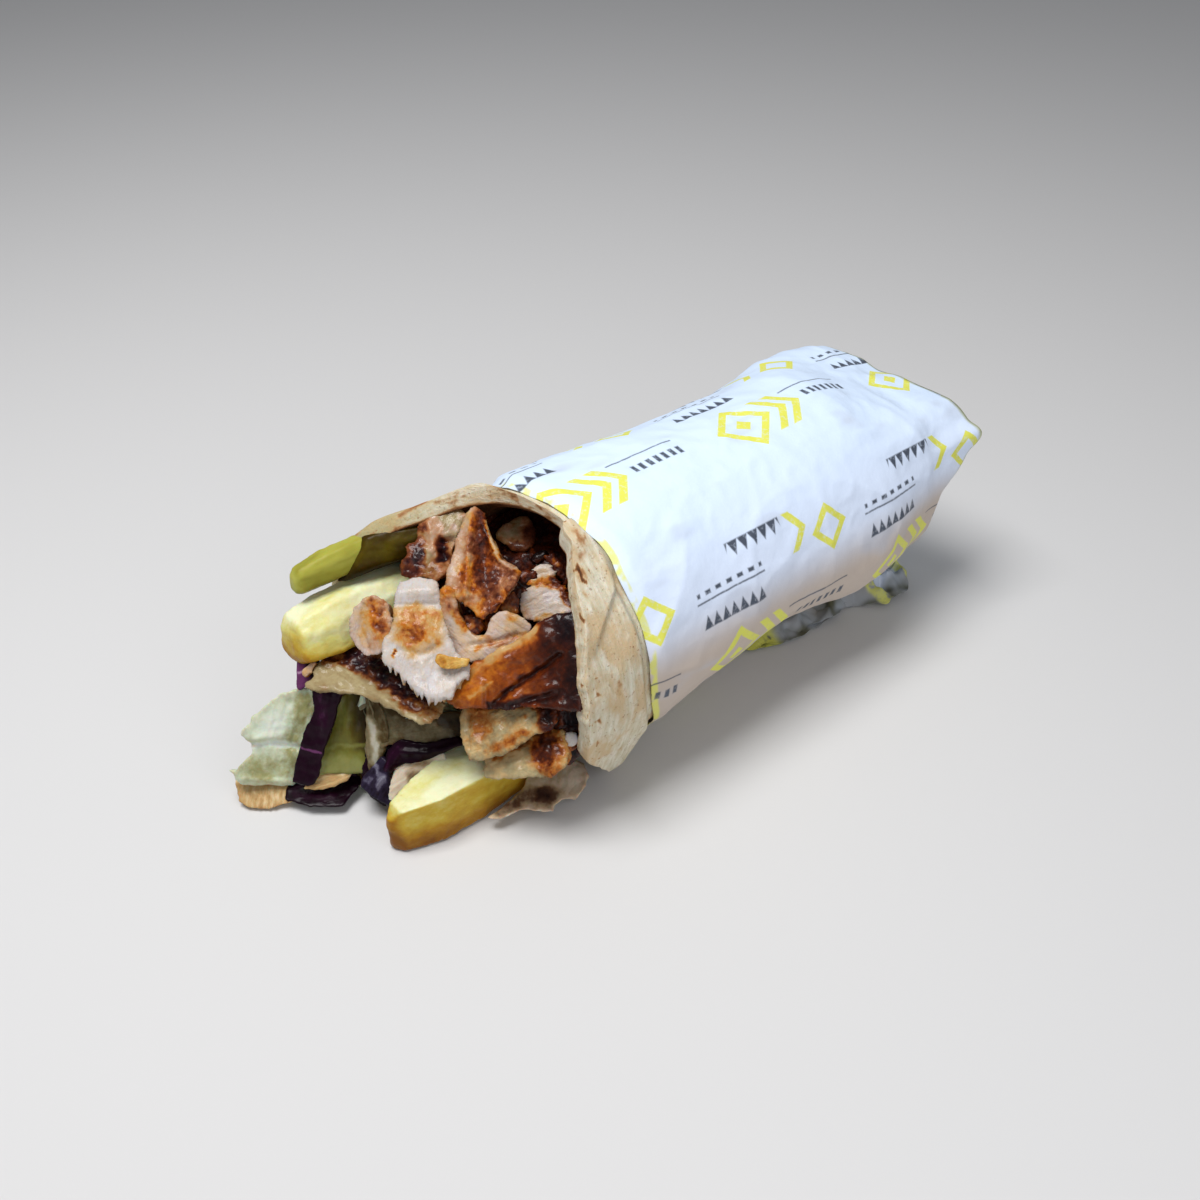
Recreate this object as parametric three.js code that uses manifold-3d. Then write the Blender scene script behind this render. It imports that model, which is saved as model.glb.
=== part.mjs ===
// A rolled flatbread sandwich in a printed paper sleeve, lying on its side.
// Millimetres, +Z up. The roll's axis runs along Y at AXIS_Z above the surface it lies on: the open
// mouth with the filling looks towards -Y, and the folded end of the paper towards +Y.
// Angles round the roll are in degrees, from +X (the near side) up over +Z (the top).
import * as THREE from "three";
import { mergeVertices } from "three/addons/utils/BufferGeometryUtils.js";
import Module from "manifold-3d";

const wasm = await Module();
wasm.setup();

// ---------- driving dimensions ----------
const GAP = 0.35; // clearance kept between pieces that touch
const LOOSE = 0.7; // clearance between the paper, the rolled bread and what it is wrapped round
const AXIS_Z = 32; // height of the roll's axis
const ROLL_RADIUS = 33; // outside of the paper, so the roll stands on a narrow flat foot
const PAPER = 0.9; // the sleeve, several layers thick
const BREAD = 4; // wall of the flatbread
const BREAD_END = 75.5; // where the rolled bread ends inside the paper
const CAVITY_END = 77.5; // inside of the folded paper end
const TAPER = { from: 60, to: 90 }; // the roll narrows to its folded end between these
const END = { halfWidth: 26.5, top: 25, bottom: 25, near: 3.4, far: 6, ear: 2.4 }; // its section
const FOLD = { y: 97.8, skew: 0.17, drop: 1.5, face: 90, foot: 81 }; // ridge of the folded end
const TAIL = { thick: 3, end: 7 }; // the paper folded under lifts the roll, most at its end
const SIDES = 28; // facets round the roll
const FINEST = 0.12; // detail smaller than this is dropped where pieces are cut by one another

// The pile of filling in the mouth has a frame of its own. Its X runs to the right along the
// sloping face of the pile, its Y up that face and its Z out of it.
const PILE = { turn: 50, lean: 52, height: 30.5 };

const pile = new THREE.Group();
pile.position.z = PILE.height;
pile.rotation.set(
  THREE.MathUtils.degToRad(PILE.lean),
  0,
  THREE.MathUtils.degToRad(PILE.turn),
  "ZXY",
);
pile.updateMatrixWorld(true);

const COLOURS = {
  paper: 0xeef1f8,
  bread: 0xe3d3b4,
  chicken: 0xc98d56,
  salad: 0x9aa678,
  fries: 0xe6c552,
  pickle: 0x9a9a3a,
  lettuce: 0xc9d3b4,
  leaf: 0x7d7f3c,
  cabbage: 0x3b1338,
};

// ---------- small tools ----------
const { degToRad, lerp, smoothstep } = THREE.MathUtils;
const cosine = (degrees) => Math.cos(degToRad(degrees));
const sine = (degrees) => Math.sin(degToRad(degrees));
const rise = (value, from, to) => smoothstep(value, from, to);

// A smooth bump of height 1 at the angle centre, gone beyond the given width to either side.
function bell(angle, centre, width) {
  const away = Math.abs(((angle - centre + 540) % 360) - 180);
  return away < width ? Math.cos((away / width) * (Math.PI / 2)) ** 2 : 0;
}

// A value that changes smoothly round the roll, from [angle, value] pairs in rising order.
function around(pairs) {
  return (angle) => {
    const first = pairs[0][0];
    const turned = first + THREE.MathUtils.euclideanModulo(angle - first, 360);
    const closed = [...pairs, [first + 360, pairs[0][1]]];
    const next = closed.findIndex(([a]) => a > turned);
    const [[a0, v0], [a1, v1]] = [closed[next - 1], closed[next]];
    return lerp(v0, v1, rise(turned, a0, a1));
  };
}

// Where the front edge of the paper lies along Y, and where the bread's rim lies.
const paperEdge = around([
  [-13, -11.9],
  [11, -13.4],
  [27, -13],
  [55, -10.9],
  [88, -9.3],
  [111, -7.2],
  [180, -5],
  [270, -3],
]);
const breadRim = around([
  [-55, -16],
  [-37, -22.5],
  [-14, -31],
  [13, -31],
  [34, -27.6],
  [54, -23],
  [76, -16],
  [95, -15],
  [112, -19],
  [128, -30],
  [142, -43],
  [160, -49],
  [185, -50],
  [215, -42],
  [250, -26],
  [280, -18],
]);

// ---------- closed surfaces ----------
// One closed mesh from rings of equally many points, each joined to the next, with a fan to its
// middle at both ends.
function skin(rings) {
  const count = rings[0].length;
  const points = rings.flat();
  const index = [];
  for (let r = 0; r + 1 < rings.length; r++) {
    for (let i = 0; i < count; i++) {
      const a = r * count + i;
      const b = r * count + ((i + 1) % count);
      index.push(a, b, b + count, a, b + count, a + count);
    }
  }
  const fan = (ring, start, turned) => {
    const middle = ring.reduce((sum, p) => sum.add(p), new THREE.Vector3());
    points.push(middle.divideScalar(count));
    for (let i = 0; i < count; i++) {
      const [a, b] = [start + i, start + ((i + 1) % count)];
      index.push(points.length - 1, turned ? b : a, turned ? a : b);
    }
  };
  fan(rings[0], 0, true);
  fan(rings.at(-1), (rings.length - 1) * count, false);
  const geometry = new THREE.BufferGeometry().setFromPoints(points);
  geometry.setIndex(index);
  return facingOut(geometry);
}

// The same mesh with its triangles turned where they face inwards.
function facingOut(geometry) {
  const index = geometry.index.array;
  const position = geometry.getAttribute("position");
  const [a, b, c] = [0, 1, 2].map(() => new THREE.Vector3());
  let volume = 0;
  for (let i = 0; i < index.length; i += 3) {
    a.fromBufferAttribute(position, index[i]);
    b.fromBufferAttribute(position, index[i + 1]);
    c.fromBufferAttribute(position, index[i + 2]);
    volume += a.dot(b.cross(c));
  }
  if (volume < 0) {
    for (let i = 0; i < index.length; i += 3) {
      [index[i + 1], index[i + 2]] = [index[i + 2], index[i + 1]];
    }
  }
  return geometry;
}

// ---------- the roll ----------
// Radius of the paper's outside: a little slack on top, and pulled in low on the near side where
// the paper is folded under.
function rollRadius(angle, y) {
  const slack = 1.2 * bell(angle, 115, 70) * rise(y, 10, 30) * (1 - rise(y, 55, 75));
  const pulledIn = 5.3 * bell(angle, -44, 50) * rise(y, -14, 12);
  const round = ROLL_RADIUS - slack - pulledIn;
  const p = lerp(END.far, END.near, bell(angle, 20, 100));
  const height = angle % 360 > 180 || angle < 0 ? END.bottom : END.top;
  const across = Math.abs(cosine(angle)) / END.halfWidth;
  const upright = Math.abs(sine(angle)) / height;
  const flat = (across ** p + upright ** p) ** (-1 / p) - 3.6 * bell(angle, -40, 45);
  const ear = END.ear * bell(angle, 127, 36) * rise(y, 62, 76);
  return lerp(round, flat, rise(y, TAPER.from, TAPER.to)) + ear;
}

// A point of the roll's surface, set in by the given depth, never below the surface it lies on.
function rollPoint(angle, y, inset) {
  const radius = rollRadius(angle, y) - inset;
  const lifted = TAIL.thick * rise(y, 24, 44) + (TAIL.end - TAIL.thick) * rise(y, 56, 84);
  const lowest = lifted + Math.max(inset, 0);
  const z = Math.max(AXIS_Z + radius * sine(angle), lowest);
  return new THREE.Vector3(radius * cosine(angle), y, z);
}

const ANGLES = Array.from({ length: SIDES }, (_, i) => (i * 360) / SIDES);

// The paper sleeve: a tube from its front edge to the flattened end, whose top sheet runs out to a
// ridge before it turns down over the end. The layers folded under come out as a tail.
function paperSleeve() {
  const along = [0, 0.05, 0.14, 0.26, 0.42, 0.58, 0.68, 0.78, 0.87, 0.94, 1];
  const endY = (angle) => lerp(FOLD.foot, FOLD.face, rise(sine(angle), -0.9, 0.4));
  const tube = along.map((share) =>
    ANGLES.map((angle) => rollPoint(angle, lerp(paperEdge(angle), endY(angle), share), 0)),
  );
  const ridge = ANGLES.map((angle) => {
    const p = rollPoint(angle, FOLD.face, 0);
    const upper = rise(sine(angle), 0.1, 0.6);
    p.y = lerp(endY(angle) + 0.8, FOLD.y + FOLD.skew * p.x, upper);
    p.z -= FOLD.drop * upper;
    return p;
  });
  const faces = [0.86, 0.5].map((scale, i) =>
    ridge.map((p, k) => {
      const middle = new THREE.Vector3(0, FOLD.face, AXIS_Z - 4);
      const q = middle.clone().lerp(p, scale);
      q.y = lerp(FOLD.foot, endY(ANGLES[k]), scale) + 0.6 - i;
      return q;
    }),
  );
  const outside = skin([...tube, ridge, ...faces]);
  const inside = skin(
    [-40, 10, 30, 44, 58, 70, CAVITY_END].map((y) =>
      ANGLES.map((angle) => rollPoint(angle, y, PAPER)),
    ),
  );
  const sleeve = solid(outside).subtract(solid(inside));
  return geometryOf(sleeve.add(solid(paperTail())));
}

// The tail of the paper: a crumpled flat strip under the back of the roll, out on the near side.
function paperTail() {
  const outline = [
    [-13, 36],
    [10, 34],
    [13, 50],
    [14, 61],
    [17, 72],
    [22, 81],
    [22.5, 86.5],
    [18, 90],
    [8, 84],
    [-12, 80],
  ];
  const thick = TAIL.thick + 0.6;
  const tail = slabGeometry({ outline, thick, round: 0.8, samples: 20 }).translate(0, 0, thick / 2);
  const position = tail.getAttribute("position");
  for (let i = 0; i < position.count; i++) {
    const [x, y, z] = [0, 1, 2].map((axis) => position.getComponent(i, axis));
    const bulk = (TAIL.end / TAIL.thick - 1) * rise(y, 56, 80);
    position.setZ(i, z * (1 + bulk * (0.85 + 0.15 * Math.sin(0.5 * y + 0.35 * x))));
  }
  return tail;
}

// How far the bread stands out of the roll's own surface where the paper doesn't hold it: along the
// lip on the far side, and at the lower corner of the flap on the near side.
function breadFlare(angle, y) {
  const lip = 4 * bell(angle, 148, 62) * rise(-y, 18, 46);
  const corner = 3.6 * bell(angle, -52, 26) * rise(-y, 9, 15);
  return lip + corner;
}

// The flatbread: a rolled wall, closed at its far end, with the rim running forward on the far side.
function flatbread() {
  const held = PAPER + LOOSE;
  const rows = (inside) => {
    const depth = inside ? BREAD : 0;
    const back = [1, 0.86, 0.7, 0.5, 0.25, 0];
    const front = [0.18, 0.4, 0.65, 0.88];
    const end = BREAD_END - depth;
    const inPaper = back.map((share) =>
      ANGLES.map((angle) => {
        const edge = paperEdge(angle) - 0.6;
        return rollPoint(angle, lerp(edge, end, share), held + depth);
      }),
    );
    const free = front.map((share) => ANGLES.map((angle) => rimPoint(angle, share, depth)));
    return [...inPaper, ...free];
  };
  const rim = [
    [0.98, 0.5],
    [1, BREAD * 0.5],
    [0.98, BREAD - 0.5],
  ].map(([share, depth]) => ANGLES.map((angle) => rimPoint(angle, share, depth)));
  return skin([...rows(false), ...rim, ...rows(true).reverse()]);
}

// A point of the bread between the paper's edge (share 0) and the rim (share 1).
function rimPoint(angle, share, depth) {
  const edge = paperEdge(angle) - 0.6;
  const y = lerp(edge, breadRim(angle), share);
  const released = (PAPER + LOOSE) * (1 - rise(edge - y, 0, 4));
  const p = rollPoint(angle, y, released + depth - breadFlare(angle, y));
  p.z = Math.max(p.z, PAPER + LOOSE + depth);
  return p;
}

// ---------- the filling inside the roll ----------
// How far the filling reaches out of the mouth at a place across it: hollow under the top of the
// bread, fullest low down and on the far side.
function fillingFront(x, z) {
  return -28 + 0.5 * x + 2.6 * Math.max(0, z - 39) + 0.4 * Math.min(0, z - 30);
}

// A mound of filling that bulges out of the mouth, as an ellipsoid in the pile's frame.
function mound(at, radii) {
  const lump = new THREE.IcosahedronGeometry(1, 2).scale(...radii).translate(...at);
  return solid(lump.applyMatrix4(pile.matrixWorld)).intersect(aboveFloor(GAP));
}

// Everything inside the bread, as one plug.
function fillingPlug() {
  const inset = PAPER + BREAD + 2 * LOOSE;
  const wall = (angle, share) => {
    const back = BREAD_END - BREAD - LOOSE;
    const p = rollPoint(angle, 0, inset);
    const y = Math.max(fillingFront(p.x, p.z), breadRim(angle) + 4);
    return rollPoint(angle, lerp(y, back, share), inset);
  };
  const tube = [1, 0.75, 0.5, 0.25, 0].map((share) => ANGLES.map((a) => wall(a, share)));
  const front = [0.75, 0.45, 0.2].map((scale) =>
    ANGLES.map((angle) => {
      const p = wall(angle, 0);
      const x = p.x * scale;
      const z = lerp(AXIS_Z, p.z, scale);
      return new THREE.Vector3(x, fillingFront(x, z), z);
    }),
  );
  return solid(skin([...tube, ...front]));
}

// A big block above (side 1) or below (side -1) the sloping sheet where chicken lies on salad.
function besideSheet(side) {
  const size = 300;
  const block = new THREE.BoxGeometry(size, size, size);
  block.translate(0, 0, side * (size / 2 + GAP / 2));
  block.rotateY(degToRad(27));
  block.translate(0, 0, 22);
  return solid(block);
}

// The chicken in the roll, with the heap behind the slices at the mouth.
function chickenFilling() {
  const heap = mound([-29, -7, 7], [17, 14, 11]);
  return geometryOf(fillingPlug().add(heap).intersect(besideSheet(1)));
}

// The salad in the roll, with the loose heap that has slid out of the mouth in front of it.
function saladFilling() {
  const heap = mound([-42, -31, 2], [22, 16, 12.5]).add(mound([-48, -20, 7], [14, 10, 10]));
  return geometryOf(fillingPlug().add(heap).intersect(besideSheet(-1)));
}

// ---------- pieces of the filling ----------
// A flat piece with a rounded edge. The outline is a smooth curve through [x, y] points; lean tips
// the piece, in mm of height for each mm across, dome raises its middle and crumple is its relief.
function slabGeometry({ outline, thick, round = 1.6, lean = [0, 0], dome = 0, ...more }) {
  const { samples = 12, crumple = () => 0 } = more;
  const curve = new THREE.CatmullRomCurve3(
    outline.map(([x, y]) => new THREE.Vector3(x, y, 0)),
    true,
    "catmullrom",
    0.35,
  );
  const edge = curve.getSpacedPoints(samples).slice(0, samples);
  const middle = edge.reduce((sum, p) => sum.add(p), new THREE.Vector3());
  middle.divideScalar(samples);
  const half = thick / 2;
  const reach = Math.min(...edge.map((p) => p.distanceTo(middle)));
  const inner = Math.max(0.25, 1 - round / reach);
  const layers = [
    [inner, -half],
    [1, -half * 0.45],
    [1, half * 0.45],
    [inner, half],
    [inner * 0.55, half],
  ];
  return skin(
    layers.map(([scale, height]) =>
      edge.map((p) => {
        const q = middle.clone().lerp(p, scale);
        const raised = dome * (1 - scale * scale);
        q.z = height + raised + q.x * lean[0] + q.y * lean[1] + crumple(q.x, q.y);
        return q;
      }),
    ),
  );
}

// A long piece through stations { at, wide, high }: its section is a rounded rectangle that keeps
// its width across the run and its height towards up.
function runGeometry(stations, { up = [0, 0, 1], sides = 10, squareness = 3.2 } = {}) {
  const places = stations.map((s) => new THREE.Vector3(...s.at));
  const upright = new THREE.Vector3(...up);
  return skin(
    stations.map(({ wide, high }, i) => {
      const before = places[Math.max(i - 1, 0)];
      const after = places[Math.min(i + 1, places.length - 1)];
      const ahead = after.clone().sub(before).normalize();
      const across = ahead.clone().cross(upright).normalize();
      const above = across.clone().cross(ahead).normalize();
      return Array.from({ length: sides }, (_, k) => {
        const angle = ((k + 0.5) * 360) / sides;
        const [c, s] = [cosine(angle), sine(angle)];
        const swell = (Math.abs(c) ** squareness + Math.abs(s) ** squareness) ** (-1 / squareness);
        return places[i]
          .clone()
          .addScaledVector(across, (wide / 2) * c * swell)
          .addScaledVector(above, (high / 2) * s * swell);
      });
    }),
  );
}

// Stations of a strip of even section along a smooth path, narrowed at both ends.
function stripStations(path, wide, high, steps = 7) {
  const curve = new THREE.CatmullRomCurve3(path.map((p) => new THREE.Vector3(...p)));
  return Array.from({ length: steps }, (_, i) => {
    const share = i / (steps - 1);
    const scale = share === 0 || share === 1 ? 0.7 : 1;
    return { at: curve.getPoint(share).toArray(), wide: wide * scale, high: high * scale };
  });
}

// Uneven relief of torn meat, different for each seed.
function torn(seed, depth = 0.5) {
  return (x, y) => depth * (Math.sin(0.55 * x + 2.1 * seed) + Math.sin(0.7 * y - 0.3 * x + seed));
}

// Slices of grilled chicken in the mouth, in the pile's frame, the foremost first.
const CHICKEN_SLICES = {
  chicken_front: {
    at: [-35.9, -8.4, 25],
    thick: 10,
    lean: [-0.1, -0.3],
    dome: 1.5,
    outline: [[-3.5, 12.5], [1.5, 10], [2, 4.5], [6, -1], [10, -5], [5, -12.5], [-3.5, -11], [-10, -3.5], [-8.5, 6]],
  },
  chicken_left: {
    at: [-48.7, -6, 26],
    thick: 8,
    lean: [0.2, 0],
    dome: 1,
    outline: [[-4, 4], [-0.5, 6.5], [3.5, 5.5], [4, -0.5], [2, -6], [-1.5, -6.5], [-4, -2.5]],
  },
  chicken_long: {
    at: [-47.9, -19.4, 23],
    thick: 5,
    lean: [0.1, -0.75],
    outline: [[-15, 2], [-11.5, 6], [-3.5, 7.5], [5, 5.5], [15, -3.5], [11.5, -7.5], [-1, -2]],
  },
  chicken_lower: {
    at: [-18.9, -28.4, 26],
    thick: 8,
    lean: [0.3, -0.2],
    dome: 1,
    outline: [[-11, 4.5], [-8.5, 6.5], [7.5, 5.5], [11, 1], [2, -2.5], [-6, -6.5], [-9.5, -2.5]],
  },
  chicken_glazed: {
    at: [-17.7, -12.6, 28],
    thick: 11,
    lean: [0.25, -0.1],
    dome: 2,
    outline: [[-0.5, 6], [6, 9], [12, 10], [13.5, 3], [13.5, -6.5], [-3.5, -10], [-13, -10], [-13.5, -5.5], [-10, -0.5]],
  },
  chicken_base: {
    at: [-16.6, -33.2, 24],
    thick: 7,
    lean: [0.3, -0.3],
    dome: 1,
    outline: [[-9.5, -5.5], [-8.5, -2], [0, 2], [7, 5.5], [9.5, 1.5], [7.5, -3], [1.5, -5.5]],
  },
  chicken_peak: {
    at: [-26, 8.1, 21],
    thick: 9,
    lean: [0.1, -0.45],
    dome: 2.5,
    outline: [[-1.5, 11.5], [3.5, 6], [7, -1.5], [4.5, -9], [1, -11.5], [-7, -5], [-6.5, 1.5], [-4.5, 7.5]],
  },
  chicken_right: {
    at: [-11.1, 1.7, 20],
    thick: 8,
    lean: [0.3, -0.2],
    dome: 1,
    outline: [[-2.5, 4], [-0.5, 6], [3, 2.5], [5.5, -3.5], [0, -6], [-5.5, -6], [-4.5, 1]],
  },
  chicken_char: {
    at: [-37, 12.2, 17],
    thick: 8,
    lean: [0.1, -0.3],
    dome: 1,
    outline: [[1, 6.5], [6.5, 8], [7, 5], [4, 0], [3, -6], [-0.5, -8], [-7, -6.5], [-5, 0], [-3, 4.5]],
  },
  chicken_side: {
    at: [-7.3, -20.8, 19],
    thick: 9,
    lean: [0.2, 0],
    outline: [[-4, 12], [3, 14.5], [4, -1], [3.5, -13], [-1, -14], [-3.5, -1]],
  },
  chicken_nub: {
    at: [-19.4, 14.4, 9],
    thick: 7,
    lean: [0, -0.3],
    dome: 1,
    outline: [[-4, 0.5], [0.5, 3.5], [3.5, 2], [4, -1], [1, -3.5], [-3, -2.5]],
  },
};

// Curled and charred strips of chicken, in the pile's frame.
const CHICKEN_STRIPS = {
  chicken_curl: {
    path: [[-33.5, 2.5, 24], [-32, -3, 24.5], [-29.5, -8, 25], [-24.5, -10.5, 25], [-18.5, -8, 24], [-13.5, -4, 22]],
    wide: 4,
    high: 9,
  },
  chicken_crust: {
    path: [[-15, 8, 15], [-19.5, 2, 17], [-22, -2, 18], [-26.5, -6.5, 18]],
    wide: 4.5,
    high: 7,
  },
};

// Leaves of the salad, in the pile's frame.
const LEAVES = {
  lettuce_leaf: {
    at: [-73.8, -33.2, 13.5],
    thick: 2.6,
    lean: [-0.12, 0.3],
    wave: 1.2,
    colour: "lettuce",
    outline: [[-9.5, -4.5], [-4, -0.5], [-6, 2.5], [-4, 6.5], [3, 12], [7, 13], [9.5, 10], [7, 0], [5, -9], [0, -13], [-6, -13]],
  },
  inner_leaf: {
    at: [-56, -31, 14],
    thick: 2.4,
    lean: [0, 0.2],
    wave: 0.6,
    colour: "leaf",
    outline: [[-6, 9], [-0.5, 9.5], [5.5, 7.5], [6.5, 1], [3, -8], [-4, -12], [-8, -10], [-7, -1]],
  },
  pale_leaf: {
    at: [-39.2, -28.3, 16],
    thick: 2.4,
    lean: [0, -0.2],
    wave: 0.6,
    colour: "lettuce",
    outline: [[-8.5, 5], [1.5, 0], [8, 3.5], [8.5, -1.5], [1.5, -4.5], [-7, -5]],
  },
  under_leaf: {
    at: [-14, -42.6, 11.5],
    thick: 3,
    lean: [-0.2, -0.7],
    wave: 0.7,
    colour: "lettuce",
    outline: [[-11.5, -6], [-3.5, -5], [3.5, -5], [9, -2], [11.5, 3], [8.5, 6], [0.5, 3.5], [-8.5, 0]],
  },
  cabbage_2: {
    at: [-62.7, -42.7, 10],
    thick: 2.4,
    lean: [0, -0.9],
    wave: 0.3,
    colour: "cabbage",
    outline: [[-8, 1.5], [-3, 0.5], [3, 1.5], [8.5, 4], [8.5, 0], [4.5, -4], [-8.5, -2.5]],
  },
};

// Shreds of cabbage and onion, in the pile's frame.
const SHREDS = {
  cabbage_1: {
    path: [[-59.5, -19, 19], [-61.5, -26.5, 19], [-64, -34, 16], [-67, -42, 12]],
    wide: 6,
    high: 2,
    colour: "cabbage",
  },
  cabbage_3: {
    path: [[-65.5, -11, 18], [-65, -16, 18], [-66, -20, 17]],
    wide: 2.6,
    high: 1.8,
    colour: "cabbage",
  },
  cabbage_4: {
    path: [[-48, -32.5, 14], [-50.5, -37, 13.5], [-50.5, -41, 12.5], [-47, -45, 12]],
    wide: 5,
    high: 2.2,
    colour: "cabbage",
  },
  cabbage_5: {
    path: [[-51.5, -37.5, 14], [-44.5, -33.5, 17.5], [-37.5, -33, 18.5], [-30.5, -31, 19]],
    wide: 4.4,
    high: 2.2,
    colour: "cabbage",
  },
  shred_1: {
    path: [[-49, -23, 18], [-48.5, -29.5, 17], [-51, -36, 14]],
    wide: 5,
    high: 2,
    colour: "lettuce",
  },
  shred_2: {
    path: [[-47, -42.5, 17.5], [-44.5, -38.5, 20], [-37.5, -36, 21]],
    wide: 4,
    high: 2.4,
    colour: "lettuce",
  },
};

// Fries and pickle spears lie along the roll, half in the mouth, in the roll's own frame.
const BARS = {
  fry_2: {
    colour: "fries",
    squareness: 7,
    stations: [
      { at: [9.6, -64.6, 6.9], wide: 5.5, high: 13.2 },
      { at: [9.2, -60, 7], wide: 8.5, high: 13.4 },
      { at: [9.2, -52, 7.1], wide: 11.5, high: 13.5 },
      { at: [8.8, -44, 7.2], wide: 12.5, high: 13.5 },
      { at: [7.5, -34, 7.6], wide: 12, high: 13 },
      { at: [6, -22, 8.5], wide: 10, high: 9 },
    ],
  },
  fry_1: {
    colour: "fries",
    squareness: 6,
    stations: [
      { at: [-26, -65, 36.2], wide: 8, high: 6 },
      { at: [-25.7, -63.4, 36.6], wide: 10, high: 9 },
      { at: [-25.5, -57, 37.8], wide: 11.5, high: 11.5 },
      { at: [-25.3, -45, 38.2], wide: 11.5, high: 11.8 },
      { at: [-24, -32, 38.2], wide: 11, high: 11.5 },
      { at: [-22.5, -18, 38], wide: 8, high: 9 },
    ],
  },
  pickle_1: {
    colour: "pickle",
    squareness: 2.6,
    stations: [
      { at: [-27.2, -61.5, 48.4], wide: 4.5, high: 3.6 },
      { at: [-27, -59.6, 48.6], wide: 7.5, high: 5.4 },
      { at: [-27, -53, 49.2], wide: 8.5, high: 8 },
      { at: [-27, -45, 49.2], wide: 8, high: 8.6 },
      { at: [-26, -34, 48.6], wide: 6, high: 6.5 },
    ],
  },
  pickle_2: {
    colour: "pickle",
    squareness: 2.6,
    stations: [
      { at: [-21.8, -56, 47.2], wide: 4.5, high: 3 },
      { at: [-22.2, -50, 48.8], wide: 8, high: 8 },
      { at: [-22.6, -43, 50.2], wide: 10, high: 10.5 },
      { at: [-22.4, -37, 50.4], wide: 9.5, high: 10 },
      { at: [-22, -31, 50.2], wide: 6.5, high: 7 },
    ],
  },
};

// ---------- solids for joining and cutting ----------
// All the space above the given height over the surface the sandwich lies on.
function aboveFloor(height) {
  const size = 400;
  return solid(new THREE.BoxGeometry(size, size, size).translate(0, 0, height + size / 2));
}

function solid(geometry) {
  const bare = geometry.clone();
  ["normal", "uv"].forEach((name) => bare.deleteAttribute(name));
  const merged = mergeVertices(bare, 1e-4);
  return new wasm.Manifold(
    new wasm.Mesh({
      numProp: 3,
      vertProperties: new Float32Array(merged.getAttribute("position").array),
      triVerts: new Uint32Array(merged.index.array),
    }),
  );
}

function geometryOf(made) {
  const mesh = made.getMesh();
  return new THREE.BufferGeometry()
    .setAttribute("position", new THREE.BufferAttribute(new Float32Array(mesh.vertProperties), 3))
    .setIndex(new THREE.BufferAttribute(new Uint32Array(mesh.triVerts), 1));
}

// The geometry moved outwards by the gap, to cut its neighbours with.
function swollen(geometry) {
  const grown = geometry.clone();
  grown.computeVertexNormals();
  const position = grown.getAttribute("position");
  const normal = grown.getAttribute("normal");
  const [p, n] = [new THREE.Vector3(), new THREE.Vector3()];
  for (let i = 0; i < position.count; i++) {
    p.fromBufferAttribute(position, i);
    p.addScaledVector(n.fromBufferAttribute(normal, i), GAP);
    position.setXYZ(i, p.x, p.y, p.z);
  }
  return grown;
}

// Cuts each mesh by all the meshes before it in the list, and keeps its largest body.
function settle(meshes) {
  const placed = [];
  for (const mesh of meshes) {
    const world = mesh.geometry.clone().applyMatrix4(mesh.matrixWorld);
    world.computeBoundingBox();
    const near = placed.filter(({ box }) => box.intersectsBox(world.boundingBox));
    let kept = solid(world).intersect(aboveFloor(0));
    for (const { cutter } of near) kept = kept.subtract(cutter);
    const bodies = kept.simplify(FINEST).decompose().sort((a, b) => b.volume() - a.volume());
    if (near.length || world.boundingBox.min.z < 0) {
      mesh.geometry = geometryOf(bodies[0]).applyMatrix4(mesh.matrixWorld.clone().invert());
    }
    const grown = swollen(mesh.geometry.clone().applyMatrix4(mesh.matrixWorld));
    grown.computeBoundingBox();
    placed.push({ box: grown.boundingBox, cutter: solid(grown) });
  }
}

// ---------- the sandwich ----------
function sandwich() {
  const pieces = []; // in the order in which they keep their shape where two meet
  const piece = (parent, name, geometry, colour, roughness) => {
    const material = new THREE.MeshStandardMaterial({ color: COLOURS[colour], roughness });
    const mesh = new THREE.Mesh(geometry, material);
    mesh.name = name;
    parent.add(mesh);
    pieces.push(mesh);
    return mesh;
  };

  const roll = new THREE.Group();
  roll.add(pile);

  piece(roll, "paper_wrap", paperSleeve(), "paper", 0.6);
  piece(roll, "flatbread", flatbread(), "bread", 0.8);
  for (const [name, bar] of Object.entries(BARS)) {
    piece(roll, name, runGeometry(bar.stations, bar), bar.colour, 0.4);
  }
  Object.entries(CHICKEN_SLICES).forEach(([name, slice], i) => {
    const geometry = slabGeometry({ ...slice, crumple: torn(i + 1) });
    piece(pile, name, geometry, "chicken", 0.45).position.set(...slice.at);
  });
  for (const [name, { path, wide, high }] of Object.entries(CHICKEN_STRIPS)) {
    piece(pile, name, runGeometry(stripStations(path, wide, high), { sides: 8 }), "chicken", 0.45);
  }
  for (const [name, { path, wide, high, colour }] of Object.entries(SHREDS)) {
    piece(pile, name, runGeometry(stripStations(path, wide, high, 6), { sides: 8 }), colour, 0.35);
  }
  Object.entries(LEAVES).forEach(([name, leaf], i) => {
    const geometry = slabGeometry({ ...leaf, round: 0.8, crumple: torn(i + 7, leaf.wave) });
    piece(pile, name, geometry, leaf.colour, 0.35).position.set(...leaf.at);
  });
  piece(roll, "chicken_filling", chickenFilling(), "chicken", 0.5);
  piece(roll, "salad_filling", saladFilling(), "salad", 0.5);

  roll.updateMatrixWorld(true);
  settle(pieces);

  const box = new THREE.Box3().setFromObject(roll, true);
  const middle = box.getCenter(new THREE.Vector3());
  roll.position.set(-middle.x, -middle.y, 0);
  const whole = new THREE.Group();
  whole.add(roll);
  return whole;
}

export default sandwich();
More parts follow.
